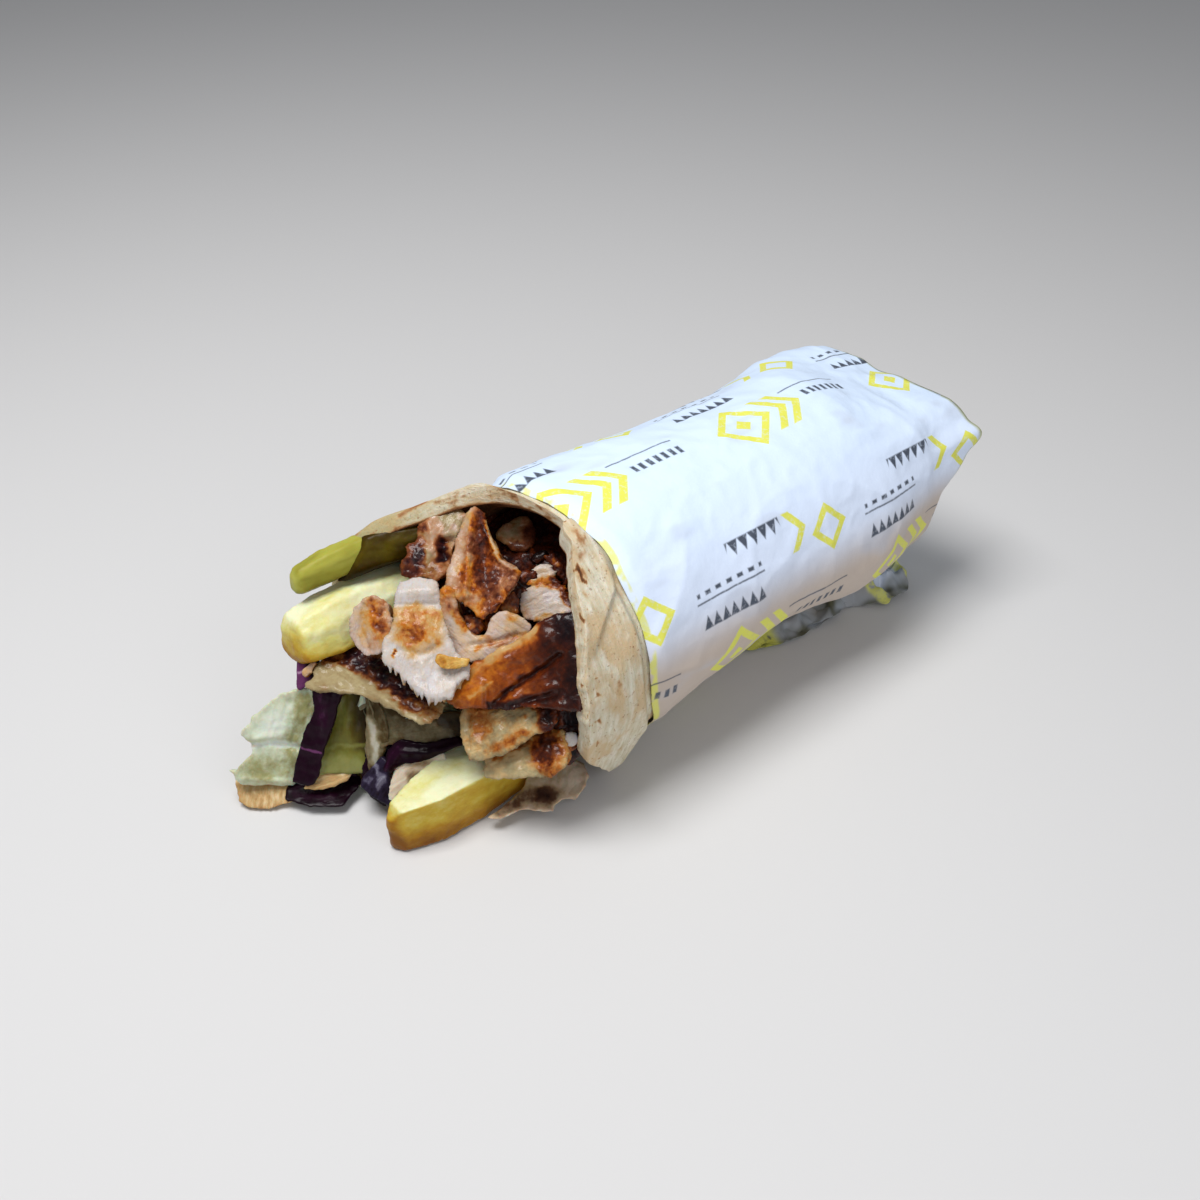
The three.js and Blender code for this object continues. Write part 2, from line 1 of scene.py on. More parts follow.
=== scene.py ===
"""Looks of a chicken gyro wrap in a printed paper sleeve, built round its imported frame.

Shapes are worked out in millimetres. Two frames help besides the row's own. The roll's frame lies
along the wrap, with Y on its axis. The pile's frame looks down on the filling in the mouth: X runs
right along its sloping face, Y up that face and Z out of it.
"""

import math
from functools import reduce

import bpy
import numpy as np
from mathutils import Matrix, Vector
from mathutils.bvhtree import BVHTree


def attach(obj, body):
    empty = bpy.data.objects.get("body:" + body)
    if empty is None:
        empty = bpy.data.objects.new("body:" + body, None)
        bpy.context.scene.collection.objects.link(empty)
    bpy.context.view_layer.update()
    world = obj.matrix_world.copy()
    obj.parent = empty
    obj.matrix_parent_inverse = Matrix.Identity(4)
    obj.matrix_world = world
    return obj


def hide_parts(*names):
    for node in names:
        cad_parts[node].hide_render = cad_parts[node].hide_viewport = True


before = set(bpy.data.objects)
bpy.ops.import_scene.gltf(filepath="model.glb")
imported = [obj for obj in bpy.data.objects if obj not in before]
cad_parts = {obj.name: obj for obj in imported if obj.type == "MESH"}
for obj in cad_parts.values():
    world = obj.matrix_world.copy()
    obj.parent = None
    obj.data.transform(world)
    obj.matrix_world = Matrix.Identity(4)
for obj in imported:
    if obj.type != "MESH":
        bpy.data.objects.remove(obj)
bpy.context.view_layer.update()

# ---------- the two frames ----------
MM, PER_METRE = 0.001, 1000
AXIS_Z = 32.0  # the roll's axis above the floor
GIRTH = 33.0  # the roll's radius, for lengths measured round it
ROLL = np.array([1.090, -7.910, 0.0])  # the roll frame's origin in the row's frame
TURN, LEAN = math.radians(50), math.radians(52)
PILE_AT = np.array([0.0, 0.0, 30.5])  # the pile frame's origin in the roll's frame
PILE = np.array(
    [
        [math.cos(TURN), math.sin(TURN), 0],
        [-math.sin(TURN) * math.cos(LEAN), math.cos(TURN) * math.cos(LEAN), math.sin(LEAN)],
        [math.sin(TURN) * math.sin(LEAN), -math.cos(TURN) * math.sin(LEAN), math.cos(LEAN)],
    ]
)
MOUTH = np.array([0.35, -0.8, 0.5])  # roughly out of the mouth, in the roll's frame


def pile_to_roll(points):
    return np.asarray(points, float) @ PILE + PILE_AT


def roll_to_pile(points):
    return (np.asarray(points, float) - PILE_AT) @ PILE.T


# ---------- numbers ----------
def rise(value, low, high):
    t = np.clip((value - low) / (high - low), 0, 1)
    return t * t * (3 - 2 * t)


def bell(angle, centre, width):
    away = np.abs((angle - centre + 540) % 360 - 180)
    return np.where(away < width, np.cos(np.minimum(away / width, 1) * np.pi / 2) ** 2, 0)


def around(pairs):
    """A smooth closed curve through (angle, value) pairs."""
    at = np.array([a for a, _ in pairs], float)
    value = np.array([v for _, v in pairs], float)
    at = np.concatenate([at[-2:] - 360, at, at[:3] + 360])
    value = np.concatenate([value[-2:], value, value[:3]])
    slope = np.gradient(value, at)

    def curve(angle):
        turned = at[2] + (np.asarray(angle, float) - at[2]) % 360
        i = np.clip(np.searchsorted(at, turned, side="right") - 1, 0, len(at) - 2)
        h = at[i + 1] - at[i]
        t = (turned - at[i]) / h
        a = (1 + 2 * t) * (1 - t) ** 2 * value[i] + t * (1 - t) ** 2 * h * slope[i]
        return a + t * t * (3 - 2 * t) * value[i + 1] + t * t * (t - 1) * h * slope[i + 1]

    return curve


def noise(points, size=1.0, seed=0):
    """Smooth noise from about -1 to 1 at points in mm, with lumps of the given size."""
    p = np.asarray(points, float) / size + seed * 17.31
    cell = np.floor(p).astype(np.int64)
    f = p - cell
    u = f * f * f * (f * (f * 6 - 15) + 10)
    total = np.zeros(p.shape[:-1])
    for k in range(8):
        step = np.array([k & 1, (k >> 1) & 1, (k >> 2) & 1])
        c = cell + step
        h = (c[..., 0] * 73856093) ^ (c[..., 1] * 19349663) ^ (c[..., 2] * 83492791)
        h = ((h ^ (h >> 13)) * 1274126177) & 0x7FFFFFFF
        h = ((h ^ (h >> 15)) * 668265263) & 0x7FFFFFFF
        grad = np.stack([(h & 255), (h >> 8) & 255, (h >> 16) & 255], -1) / 127.5 - 1
        weight = np.prod(np.where(step == 1, u, 1 - u), axis=-1)
        total += weight * np.sum(grad * (f - step), axis=-1)
    return total * 1.4


def rough(points, size, seed=0, layers=3, keep=0.5):
    """Noise in several sizes, each half the one before."""
    return sum(keep**i * noise(points, size / 2**i, seed + i) for i in range(layers))


def drift(points, size, seeds):
    """Noise in each part of a vector, from a seed for each."""
    return np.stack([noise(points, size, seed) for seed in seeds], -1)


def ridged(points, size, seed=0):
    """Sharp creases, 1 on the crease and falling to 0 away from it."""
    return 1 - np.minimum(1, 2.2 * np.abs(noise(points, size, seed)))


# ---------- meshes ----------
def build(name, points, faces, attributes=None):
    """A mesh object from points in the roll's frame, in mm."""
    points = (np.asarray(points, float).reshape(-1, 3) + ROLL) * MM
    mesh = bpy.data.meshes.new(name)
    mesh.from_pydata(points.tolist(), [], [list(f) for f in faces])
    for key, values in (attributes or {}).items():
        paint(mesh, key, values)
    mesh.polygons.foreach_set("use_smooth", [True] * len(mesh.polygons))
    mesh.update()
    piece = bpy.data.objects.new(name, mesh)
    bpy.context.scene.collection.objects.link(piece)
    return piece


def paint(mesh, key, values):
    values = np.asarray(values, np.float32)
    vector = values.ndim == 2
    layer = mesh.attributes.new(key, "FLOAT_VECTOR" if vector else "FLOAT", "POINT")
    layer.data.foreach_set("vector" if vector else "value", values.ravel())


def grid_faces(rows, columns, closed=True, start=0):
    """Quads between rows of points. A closed grid also joins the last column to the first."""
    r, c = np.meshgrid(np.arange(rows - 1), np.arange(columns - (not closed)), indexing="ij")
    r, c = r.ravel() * columns, c.ravel()
    d = (c + 1) % columns
    corners = [r + c, r + d, r + columns + d, r + columns + c]
    return (np.stack(corners, 1) + start).tolist()


def points_of(piece):
    """A piece's points in the roll's frame, in mm, and its normals."""
    mesh = piece.data
    co = np.empty(len(mesh.vertices) * 3)
    normal = np.empty(len(mesh.vertices) * 3)
    mesh.vertices.foreach_get("co", co)
    mesh.vertices.foreach_get("normal", normal)
    return co.reshape(-1, 3) * PER_METRE - ROLL, normal.reshape(-1, 3)


def tree_of(piece, points):
    """For finding places on a piece, whose points are given in mm."""
    faces = [tuple(face.vertices) for face in piece.data.polygons]
    return BVHTree.FromPolygons(points.tolist(), faces)


def move_to(piece, points):
    piece.data.vertices.foreach_set("co", ((np.asarray(points) + ROLL) * MM).ravel())
    piece.data.update()


def applied(piece):
    """The piece with its modifiers made real."""
    graph = bpy.context.evaluated_depsgraph_get()
    mesh = bpy.data.meshes.new_from_object(piece.evaluated_get(graph))
    old = piece.data
    piece.modifiers.clear()
    piece.data = mesh
    bpy.data.meshes.remove(old)
    mesh.name = piece.name
    return piece


def fine(piece, voxel, smooth):
    """The piece as a mesh of even small faces, its edges rounded by smoothing."""
    remesh = piece.modifiers.new("fine", "REMESH")
    remesh.mode = "VOXEL"
    remesh.voxel_size = voxel * MM
    relax = piece.modifiers.new("soft", "SMOOTH")
    relax.factor = 0.5
    relax.iterations = smooth
    applied(piece)
    for key in [a.name for a in piece.data.attributes if a.name.startswith("UV")]:
        piece.data.attributes.remove(piece.data.attributes[key])
    piece.data.polygons.foreach_set("use_smooth", [True] * len(piece.data.polygons))
    return piece


def carved(node, name, voxel=0.5, smooth=8, grow=0.3):
    """A fine smooth copy of a CAD node's solid, to be shaped further."""
    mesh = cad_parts[node].data.copy()
    mesh.materials.clear()
    piece = bpy.data.objects.new(name, mesh)
    bpy.context.scene.collection.objects.link(piece)
    fine(piece, voxel, smooth)
    points, normal = points_of(piece)
    move_to(piece, points + normal * grow)
    return piece


def finish(piece, material, replaced=()):
    piece.data.materials.clear()
    piece.data.materials.append(material)
    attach(piece, "root")
    if replaced:
        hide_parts(*replaced)
    return piece


# ---------- materials ----------
def linear(r, g, b):
    """A colour as a screen shows it, 0 to 255, as the shader's linear colour."""
    shown = (r / 255, g / 255, b / 255)
    low = [c / 12.92 for c in shown]
    high = [((c + 0.055) / 1.055) ** 2.4 for c in shown]
    return tuple(l if c <= 0.04045 else h for c, l, h in zip(shown, low, high)) + (1.0,)


class Shader:
    """Node material with a Principled surface, and short calls for the nodes that feed it."""

    def __init__(self, name, **constants):
        self.material = bpy.data.materials.new(name)
        self.material.use_nodes = True
        self.tree = self.material.node_tree
        self.tree.nodes.clear()
        self.surface = self.tree.nodes.new("ShaderNodeBsdfPrincipled")
        output = self.tree.nodes.new("ShaderNodeOutputMaterial")
        self.tree.links.new(self.surface.outputs[0], output.inputs[0])
        for key, value in constants.items():
            self.surface.inputs[key.replace("_", " ")].default_value = value
        self.position = None

    def put(self, socket, value):
        if isinstance(value, bpy.types.NodeSocket):
            self.tree.links.new(value, socket)
        else:
            socket.default_value = value

    def set(self, name, value):
        self.put(self.surface.inputs[name], value)

    def math(self, operation, a, b=0.0, c=0.0, clamp=False):
        node = self.tree.nodes.new("ShaderNodeMath")
        node.operation = operation
        node.use_clamp = clamp
        for socket, value in zip(node.inputs, (a, b, c)):
            self.put(socket, value)
        return node.outputs[0]

    def times(self, a, b):
        return self.math("MULTIPLY", a, b)

    def plus(self, a, b, clamp=False):
        return self.math("ADD", a, b, clamp=clamp)

    def minus(self, a, b):
        return self.math("SUBTRACT", a, b)

    def larger(self, a, b):
        return self.math("MAXIMUM", a, b)

    def attribute(self, name, vector=False):
        node = self.tree.nodes.new("ShaderNodeAttribute")
        node.attribute_name = name
        return node.outputs["Vector" if vector else "Fac"]

    def millimetres(self):
        """The place in the row's frame, in mm."""
        if self.position is None:
            where = self.tree.nodes.new("ShaderNodeTexCoord")
            self.position = self.scaled(where.outputs["Object"], (PER_METRE, PER_METRE, PER_METRE))
        return self.position

    def scaled(self, vector, scale):
        node = self.tree.nodes.new("ShaderNodeVectorMath")
        node.operation = "MULTIPLY"
        self.put(node.inputs[0], vector)
        node.inputs[1].default_value = scale
        return node.outputs[0]

    def noise(self, size, detail=3.0, roughness=0.55, stretch=(1, 1, 1), vector=None):
        """Noise from 0 to 1 with lumps about size mm across."""
        node = self.tree.nodes.new("ShaderNodeTexNoise")
        place = self.scaled(vector or self.millimetres(), tuple(s / size for s in stretch))
        self.put(node.inputs["Vector"], place)
        node.inputs["Scale"].default_value = 1.0
        node.inputs["Detail"].default_value = detail
        node.inputs["Roughness"].default_value = roughness
        return node.outputs[0]

    def span(self, value, low, high, out_low=0.0, out_high=1.0):
        """Value spread from low..high to out_low..out_high, smoothly and clamped."""
        node = self.tree.nodes.new("ShaderNodeMapRange")
        node.interpolation_type = "SMOOTHSTEP"
        for socket, v in zip(node.inputs, (value, low, high, out_low, out_high)):
            self.put(socket, v)
        return node.outputs[0]

    def ramp(self, value, stops):
        node = self.tree.nodes.new("ShaderNodeValToRGB")
        self.put(node.inputs[0], value)
        elements = node.color_ramp.elements
        while len(elements) < len(stops):
            elements.new(0.5)
        for element, (place, colour) in zip(elements, stops):
            element.position = place
            element.color = linear(*colour)
        return node.outputs[0]

    def mix(self, factor, a, b, blend="MIX"):
        node = self.tree.nodes.new("ShaderNodeMix")
        node.data_type = "RGBA"
        node.blend_type = blend
        self.put(node.inputs[0], factor)
        self.put(node.inputs[6], a if isinstance(a, bpy.types.NodeSocket) else linear(*a))
        self.put(node.inputs[7], b if isinstance(b, bpy.types.NodeSocket) else linear(*b))
        return node.outputs[2]

    def bump(self, height, depth):
        """Relief of the given depth in mm from a height of 0 to 1."""
        node = self.tree.nodes.new("ShaderNodeBump")
        node.inputs["Strength"].default_value = 1.0
        node.inputs["Distance"].default_value = depth * MM
        self.put(node.inputs["Height"], height)
        if self.surface.inputs["Normal"].is_linked:
            self.put(node.inputs["Normal"], self.surface.inputs["Normal"].links[0].from_socket)
        self.set("Normal", node.outputs[0])


def soft(weight, scale):
    """A shader's values for light that goes through food."""
    return dict(Subsurface_Weight=weight, Subsurface_Scale=scale)


# ---------- the roll's shape ----------
PAPER_EDGE = around(
    [
        (-28, -8.2), (-14, -11.0), (1, -12.8), (12, -12.9), (27, -12.5), (38, -13), (48, -13.2),
        (56, -12.4), (63, -12.6), (70, -13.5), (80, -14), (92, -14.9), (102, -15.8), (113, -16.6),
        (135, -14.5), (180, -9), (230, -5), (270, -4),
    ]
)
BREAD_RIM = around(
    [
        (-55, -16), (-42, -20.5), (-30, -26.6), (-20, -29.6), (-8, -30.4), (13, -30.4), (34, -27.4),
        (54, -23.6), (64, -20.6), (70, -19.8), (73, -18.6), (75.5, -16.4), (79, -15.7), (85, -15.9),
        (92, -17), (101, -18.3), (112, -20.6), (120, -25), (128, -30.3), (142, -43), (160, -49),
        (185, -50), (215, -42), (250, -26), (280, -18),
    ]
)


def cosine(angle):
    return np.cos(np.radians(angle))


def sine(angle):
    return np.sin(np.radians(angle))


def outwards(angle):
    """The direction away from the roll's axis at each angle, as one row of a grid."""
    return np.stack([cosine(angle), 0 * angle, sine(angle)], -1)[None]


def roll_radius(angle, y):
    """The sleeve's radius: round and slack in front, and flattened into a ridge at its back end."""
    slack = 1.2 * bell(angle, 115, 70) * rise(y, 10, 30) * (1 - rise(y, 55, 75))
    slack = slack - 1.2 * bell(angle, 122, 34) * (1 - rise(y, -14, 14))
    pulled_in = 5.3 * rise(y, -14, 12) * bell(angle, -46, 50)
    pulled_in = pulled_in + 6.6 * rise(y, 6, 54) * bell(angle, -64, 52)
    pulled_in += 2.6 * rise(y, 8, 28) * (1 - rise(y, 34, 60)) * bell(angle, -22, 45)
    half_width, half_height = 26.5, 25
    power = 6 + (3.4 - 6) * bell(angle, 20, 100)
    across = np.abs(cosine(angle)) / half_width
    upright = np.abs(sine(angle)) / half_height
    flat = (across**power + upright**power) ** (-1 / power) - 9.0 * bell(angle, -58, 50)
    ear = 2.4 * bell(angle, 127, 36) * rise(y, 62, 76)
    round_ = GIRTH - slack - pulled_in
    return round_ + (flat - round_) * rise(y, 60, 90) + ear


def underside(y):
    """How high the roll's flat underside is above the floor."""
    return 3 * rise(y, 24, 44) + 4 * rise(y, 56, 84)


def roll_point(angle, y, inset):
    """The place at a turn and y, an inset under the paper's outside."""
    radius = roll_radius(angle, y) - inset
    z = np.maximum(AXIS_Z + radius * sine(angle), underside(y) + np.maximum(inset, 0))
    return np.stack([radius * cosine(angle), y + 0 * radius, z], -1)


def kept_inside(piece, gap=5.2):
    """Keeps a core of filling clear of the bread and paper round it, behind the mouth."""
    points, _ = points_of(piece)
    x, y, z = points[:, 0], points[:, 1], points[:, 2] - AXIS_Z
    limit = roll_radius(np.degrees(np.arctan2(z, x)), y) - gap
    behind = rise(y, -14, -4)
    scale = 1 + (np.minimum(1, limit / np.maximum(np.hypot(x, z), 1e-6)) - 1) * behind
    low = (underside(y) + gap) * behind
    move_to(piece, np.stack([x * scale, y, np.maximum(z * scale + AXIS_Z, low)], -1))


# ---------- the paper sleeve ----------
PAPER_THICK = 0.14


def full_turn(count):
    """Angles all the way round from straight down."""
    return -90 + np.arange(count) * 360 / count


def paper_sheet(name, points, faces, axial, girth, edge=9.0, dyed=0.0, printed=1.0, outside=False):
    """A thin sheet that knows its place along and round the print, how far it is from the
    sleeve's edge, and how dyed and printed it is. Where it is not printed, it is painted dark
    as shade."""
    places = dict(axial=axial, girth=girth, edge=edge, dyed=dyed, printed=printed)
    shape = points.shape[:-1]
    places = {key: np.broadcast_to(value, shape).ravel() for key, value in places.items()}
    piece = build(name, points, faces, places)
    solid = piece.modifiers.new("sheet", "SOLIDIFY")
    solid.thickness = PAPER_THICK * MM
    solid.offset = (1.0 if piece.data.polygons[0].normal.z < 0 else -1.0) if outside else 0.0
    return applied(piece)


def paper_sleeve():
    n = 400
    angle = full_turn(n)
    edge = PAPER_EDGE(angle)
    foot_y, face_y, corner_y = 81.0, 90.0, 97.8
    end = foot_y + (face_y - foot_y) * rise(sine(angle), -0.9, 0.4)
    share = np.concatenate([[0, 0.004, 0.01], np.linspace(0.02, 1, 150)])[:, None]
    y = edge + (end - edge) * share
    tube = roll_point(angle[None], y, 0.0)
    ridge = roll_point(angle, np.full(n, face_y), 0.0)
    upper = rise(sine(angle), 0.1, 0.6)
    ridge[:, 1] = end + 0.8 + (corner_y + 0.17 * ridge[:, 0] - end - 0.8) * upper
    ridge[:, 2] -= 1.5 * upper
    corner = bell(angle, 34, 9)[:, None]
    ridge += corner * [2.0, 1.2, 0.9]
    steps = np.linspace(0, 1, 9)[1:, None, None]
    lip = tube[-1] + (ridge - tube[-1]) * steps
    middle = np.array([0, face_y, AXIS_Z - 4])
    face = []
    for scale in (0.985, 0.965, 0.94, 0.91, 0.86, 0.8, 0.72, 0.62, 0.5, 0.38, 0.26, 0.14, 0.04):
        q = middle + (ridge - middle) * scale
        back = foot_y + (end - foot_y) * scale - 0.4
        q[:, 1] = back + (ridge[:, 1] - back) * (1 - rise(1 - scale, 0.0, 0.13)) ** 1.5
        face.append(q)
    face = np.array(face)
    rows = np.concatenate([tube, lip, face])
    count = len(tube) + len(lip)
    outer = rows[:count]
    yy = outer[..., 1]
    wave = 0.45 * noise(outer, 22, 1) + 0.2 * noise(outer, 9, 2)
    crease = 0.3 * (ridged(outer * [1, 0.55, 1], 13, 3) - 0.3) + 0.16 * (ridged(outer, 6, 4) - 0.3)
    crease += 0.1 * noise(outer, 4.0, 22) + 0.5 * (ridged(outer * [1, 0.8, 1], 26, 23) ** 3 - 0.1)
    tight = rise(yy, 52, 86)
    crumple = 0.7 * noise(outer, 10, 5) + 0.55 * (ridged(outer, 15, 6) - 0.35)
    free = 1 - rise(yy - edge, 0, 5)
    flutter = 0.3 * free * noise(np.stack([angle, 0 * angle, 0 * angle], -1) * 0.6, 9, 7)
    flutter = flutter - (1.0 + 0.6 * bell(angle, 105, 45)) * (1 - rise(yy - edge, 0, 4))
    d = wave * (0.4 + 0.6 * rise(yy - edge, 0, 12)) + crease + crumple * tight + flutter
    outer += outwards(angle) * (d - 0.15)[..., None]
    folded = rows[count:]
    folded[..., 1] += 0.5 * noise(folded, 9, 8) + 0.5 * (ridged(folded, 13, 9) - 0.4)
    axial = rows[..., 1].copy()
    girth = np.broadcast_to(np.radians(angle) * GIRTH, axial.shape).copy()
    across, along = 33, 100  # where the print of the end's face starts
    girth[count:], axial[count:] = folded[..., 0] + across, folded[..., 2] + along
    rows[..., 2] = np.maximum(rows[..., 2], 0.05)
    along_ridge = 0 * axial
    along_ridge[count - 1 : count + 1] = 0.9 * upper
    faces = grid_faces(len(rows), n)
    looks = dict(edge=rows[..., 1] - edge, dyed=along_ridge, outside=True)
    return paper_sheet("paper_sleeve", rows, faces, axial, girth, **looks)


def paper_flaps(sleeve):
    """The two folded flaps that close the sleeve's back end, the upper one over the lower one."""
    points, _ = points_of(sleeve)
    tree = tree_of(sleeve, points)
    beyond, least, typical = 150, 76, 84.0  # along Y: past the end, and its least and usual y

    def end_at(x, z):
        hit = tree.ray_cast(Vector((x, beyond, z)), Vector((0, -1, 0)))[0]
        return hit[1] if hit and hit[1] > least else None

    def reach(x, z):
        """X moved inwards until it lies on the sleeve's end."""
        while abs(x) > 0.5 and end_at(x, z) is None:
            x -= math.copysign(0.4, x)
        return x

    flaps = []
    shapes = ((11.5, 34.0, 15.0, 0.5), (48.0, 16.0, 19.0, 1.0))
    for i, (top, tip, half, lift) in enumerate(shapes):
        rows, columns = 60, 60
        down, side = np.linspace(0, 1, rows)[:, None], np.linspace(-1, 1, columns)[None]
        x = side * half * (1 - down) ** 0.85 + 1.6 * side + 2.0 * down * (1 - 2 * i)
        z = top + (tip - top) * down + 0.5 * noise(np.stack([x, 0 * x + i, 0 * x], -1), 6, 60 + i)
        for row in range(rows - 1):
            left, right = reach(x[row, 0], z[row, 0]), reach(x[row, -1], z[row, -1])
            x[row] = left + (x[row] - x[row, 0]) * (right - left) / (x[row, -1] - x[row, 0])
        p = np.stack([x, 0 * x, z], -1)
        found = typical
        for k in np.ndindex(rows, columns):
            found = end_at(x[k], z[k]) or found
            p[k][1] = found + lift
        p[..., 1] += 0.35 * noise(p, 7, 61 + i) + 0.5 * (ridged(p, 9, 62 + i) - 0.3) * down
        axial = p[..., 2] * 0.9 + 0.5 * p[..., 0] + 40 * i
        girth = p[..., 0] - 0.4 * p[..., 2] + 60 + 25 * i
        faces = grid_faces(rows, columns, closed=False)
        flaps.append(paper_sheet(f"paper_flap_{i + 1}", p, faces, axial, girth))
    return flaps


def paper_print(s):
    """The sheet's print: 1 where it is yellow and 1 where it is dark, as two sockets."""
    across, along, start = 51.8, 54.0, 18.0  # the print's repeats, and where they begin
    axial, girth = s.attribute("axial"), s.attribute("girth")
    jitter = s.times(s.minus(s.noise(1.6), 0.5), 0.25)
    row = s.math("FLOOR", s.math("DIVIDE", s.plus(girth, start), across))
    v = s.math("WRAP", s.plus(s.plus(girth, start), jitter), across, 0.0)
    shifted = s.plus(axial, s.times(row, along / 2))
    u = s.math("WRAP", s.plus(shifted, jitter), along, 0.0)

    def away(value, centre):
        return s.math("ABSOLUTE", s.minus(value, centre))

    def inside(distance):
        return s.span(distance, 0.28, -0.22)

    def diamond(cu, cv, radius, half=None):
        d = s.minus(s.plus(away(u, cu), away(v, cv)), radius)
        return inside(d if half is None else s.minus(s.math("ABSOLUTE", d), half))

    def chevron(cu, cv, half, high):
        bent = s.plus(s.minus(u, cu), s.times(away(v, cv), 0.8))
        band = s.minus(s.math("ABSOLUTE", bent), half)
        return inside(s.larger(band, s.minus(away(v, cv), high)))

    def within(cu, half_u, cv, half_v):
        return s.larger(s.minus(away(u, cu), half_u), s.minus(away(v, cv), half_v))

    def pips(cu, half_u, cv, half_v, pitch, lean):
        local = s.math("WRAP", s.minus(u, cu), pitch / 2, -pitch / 2)
        side = s.plus(s.math("ABSOLUTE", local), s.times(s.minus(v, cv), lean))
        d = s.minus(side, pitch * 0.24)
        return inside(s.larger(d, within(cu, half_u, cv, half_v)))

    def either(*masks):
        return reduce(s.larger, masks)

    yellow = either(
        diamond(13, 14, 7.2, 1.25),
        diamond(13, 14, 2.3),
        chevron(25.5, 14, 1.25, 6.2),
        chevron(30, 14, 1.25, 6.2),
        diamond(44, 34, 4.6, 1.1),
        chevron(36, 37, 1.1, 4.6),
    )
    dark = either(
        pips(12, 9.2, 27.5, 1.5, 2.65, 0.42),
        pips(41, 7.8, 15.0, 1.2, 2.2, 0.0),
        inside(within(39, 9.5, 19.2, 0.16)),
        pips(22, 8.0, 40.0, 1.6, 2.9, -0.42),
        inside(within(12, 10, 32.2, 0.16)),
        pips(12, 9.6, 34.0, 0.45, 3.2, 0.0),
    )
    return yellow, dark


# Each layer of the tail: from and to along Y, its near edge as y and x places, its height, and
# how far back under the roll it starts.
TAIL_SHEETS = [
    (
        36.0, 82.0,
        ([36, 40, 50.8, 58.7, 64.6, 72.7, 82], [9.6, 11.6, 15.8, 15.0, 17.4, 15.4, 19.5]), 6.0, -6,
    ),
    (
        67.0, 95.0,
        ([67, 72.7, 78, 82.5, 88.6, 92, 95], [12.4, 14.6, 18.6, 22.6, 22.0, 20.4, 17.2]), 7.6, -2,
    ),
    (40.0, 74.0, ([40, 50, 61, 74], [12.0, 15.4, 16.4, 15.4]), 3.0, 0),
]


def paper_tail():
    """The crumpled layers of the sheet that stick out under the back of the roll."""
    parts = []
    for i, (start, stop, near, high, back) in enumerate(TAIL_SHEETS):
        rows, columns = 90, 60
        along = np.linspace(start, stop, rows)[:, None]
        outer = np.interp(along, *near)
        share = np.linspace(0, 1, columns)[None]
        x = back + (outer - back) * share
        y = along + 0 * x + 1.5 * noise(np.stack([x * 0.1, along + 0 * x, 0 * x], -1), 7, 50 + i)
        p = np.stack([x, y, 0 * x], -1)
        crumple = 0.6 + 0.5 * noise(p, 5.0, 51 + i) + 0.6 * (ridged(p, 8.0, 52 + i) - 0.4)
        crumple = crumple + 0.2 * noise(p, 2.0, 53 + i)
        droop = rise(share, 0.75, 1.0) * (0.7 - 0.5 * noise(p, 6.0, 54 + i))
        z = high * crumple * (1 - droop) + 0.25
        p[..., 0] += 1.3 * noise(p, 4.0, 55 + i) * share
        p[..., 2] = np.clip(z, 0.15, high * 1.25)
        slant = y - 0.35 * x
        band = rise(slant, 73, 73.8) * (1 - rise(slant, 76, 77))
        band = band + (1 - rise(y, 47, 50)) + rise(y, 93, 94)
        girth = 11 + 6 * noise(p, 7.0, 56 + i)
        # The tail is painted dark olive as shade under the roll, except a printed patch on the
        # second layer.
        clean = 0.75 * (i == 1) * rise(share, 0.4, 0.55) * (1 - rise(share, 0.76, 0.9))
        looks = dict(dyed=0.9 * band, printed=clean * rise(y, 80, 84))
        faces = grid_faces(rows, columns, closed=False)
        parts.append(paper_sheet(f"paper_tail_{i + 1}", p, faces, y + 20 * i, girth, **looks))
    return parts


def paper_material():
    s = Shader("paper", Roughness=0.55, Specular_IOR_Level=0.4, IOR=1.45)
    yellow, dark = paper_print(s)
    girth = s.attribute("girth")
    # Painted light and shade by place round the roll: cyan-white top, lavender side, grey-beige
    # underside.
    sheet = s.mix(s.span(girth, 10, 40), (221, 233, 254), (213, 231, 254))
    sheet = s.mix(s.span(girth, 15, 1), sheet, (194, 180, 168))
    blot = s.noise(8, 2.0, 0.5, stretch=(1, 0.4, 1))
    sheet = s.mix(s.times(s.span(blot, 0.55, 0.75), 0.5), sheet, (186, 192, 206))
    printed = s.attribute("printed")
    # Where the sheet is not printed, on the tail under the roll, it is painted a patchy dark olive
    # as shade.
    grimy = s.times(s.span(printed, 1.0, 0.0), s.span(s.noise(9.0, 2.0), 0.36, 0.64, 0.55, 1.0))
    sheet = s.mix(grimy, sheet, (84, 84, 62))
    yellow, dark = s.times(yellow, printed), s.times(dark, printed)
    worn = s.span(s.noise(0.9, 2.0), 0.3, 0.5, 0.72, 1.0)
    dyed = s.times(s.attribute("dyed"), s.span(s.noise(3.0), 0.3, 0.45))
    at_edge = s.times(s.span(s.attribute("edge"), 1.9, 1.3), s.span(s.noise(9.0), 0.46, 0.54))
    dyed = s.plus(dyed, at_edge)
    yellow = s.larger(yellow, s.times(dyed, 0.8))
    sheet = s.mix(s.times(yellow, worn), sheet, (222, 223, 92))
    sheet = s.mix(s.times(dark, worn), sheet, (74, 82, 96))
    s.set("Base Color", sheet)
    s.bump(s.noise(2.4, 4.0), 0.12)
    return s.material


# ---------- the bread ----------
def breadth(angle, y):
    """How far the free bread stands out from the roll: its lip, its corner and its flap's tip."""
    lip = 4 * bell(angle, 148, 62) * rise(-y, 18, 46)
    lip = lip + 0.9 * bell(angle, 121, 17) * rise(-y, 17, 22)
    corner = 3.6 * bell(angle, -52, 26) * rise(-y, 9, 15)
    tip = 1.3 * rise(angle, 56, 66) * (1 - rise(angle, 72.5, 75)) * rise(-y, 13.5, 17)
    return lip + corner + tip


TOASTED = [
    (0.2, (206, 180, 134)), (0.45, (168, 122, 76)), (0.7, (122, 80, 48)), (1.0, (74, 44, 26)),
]

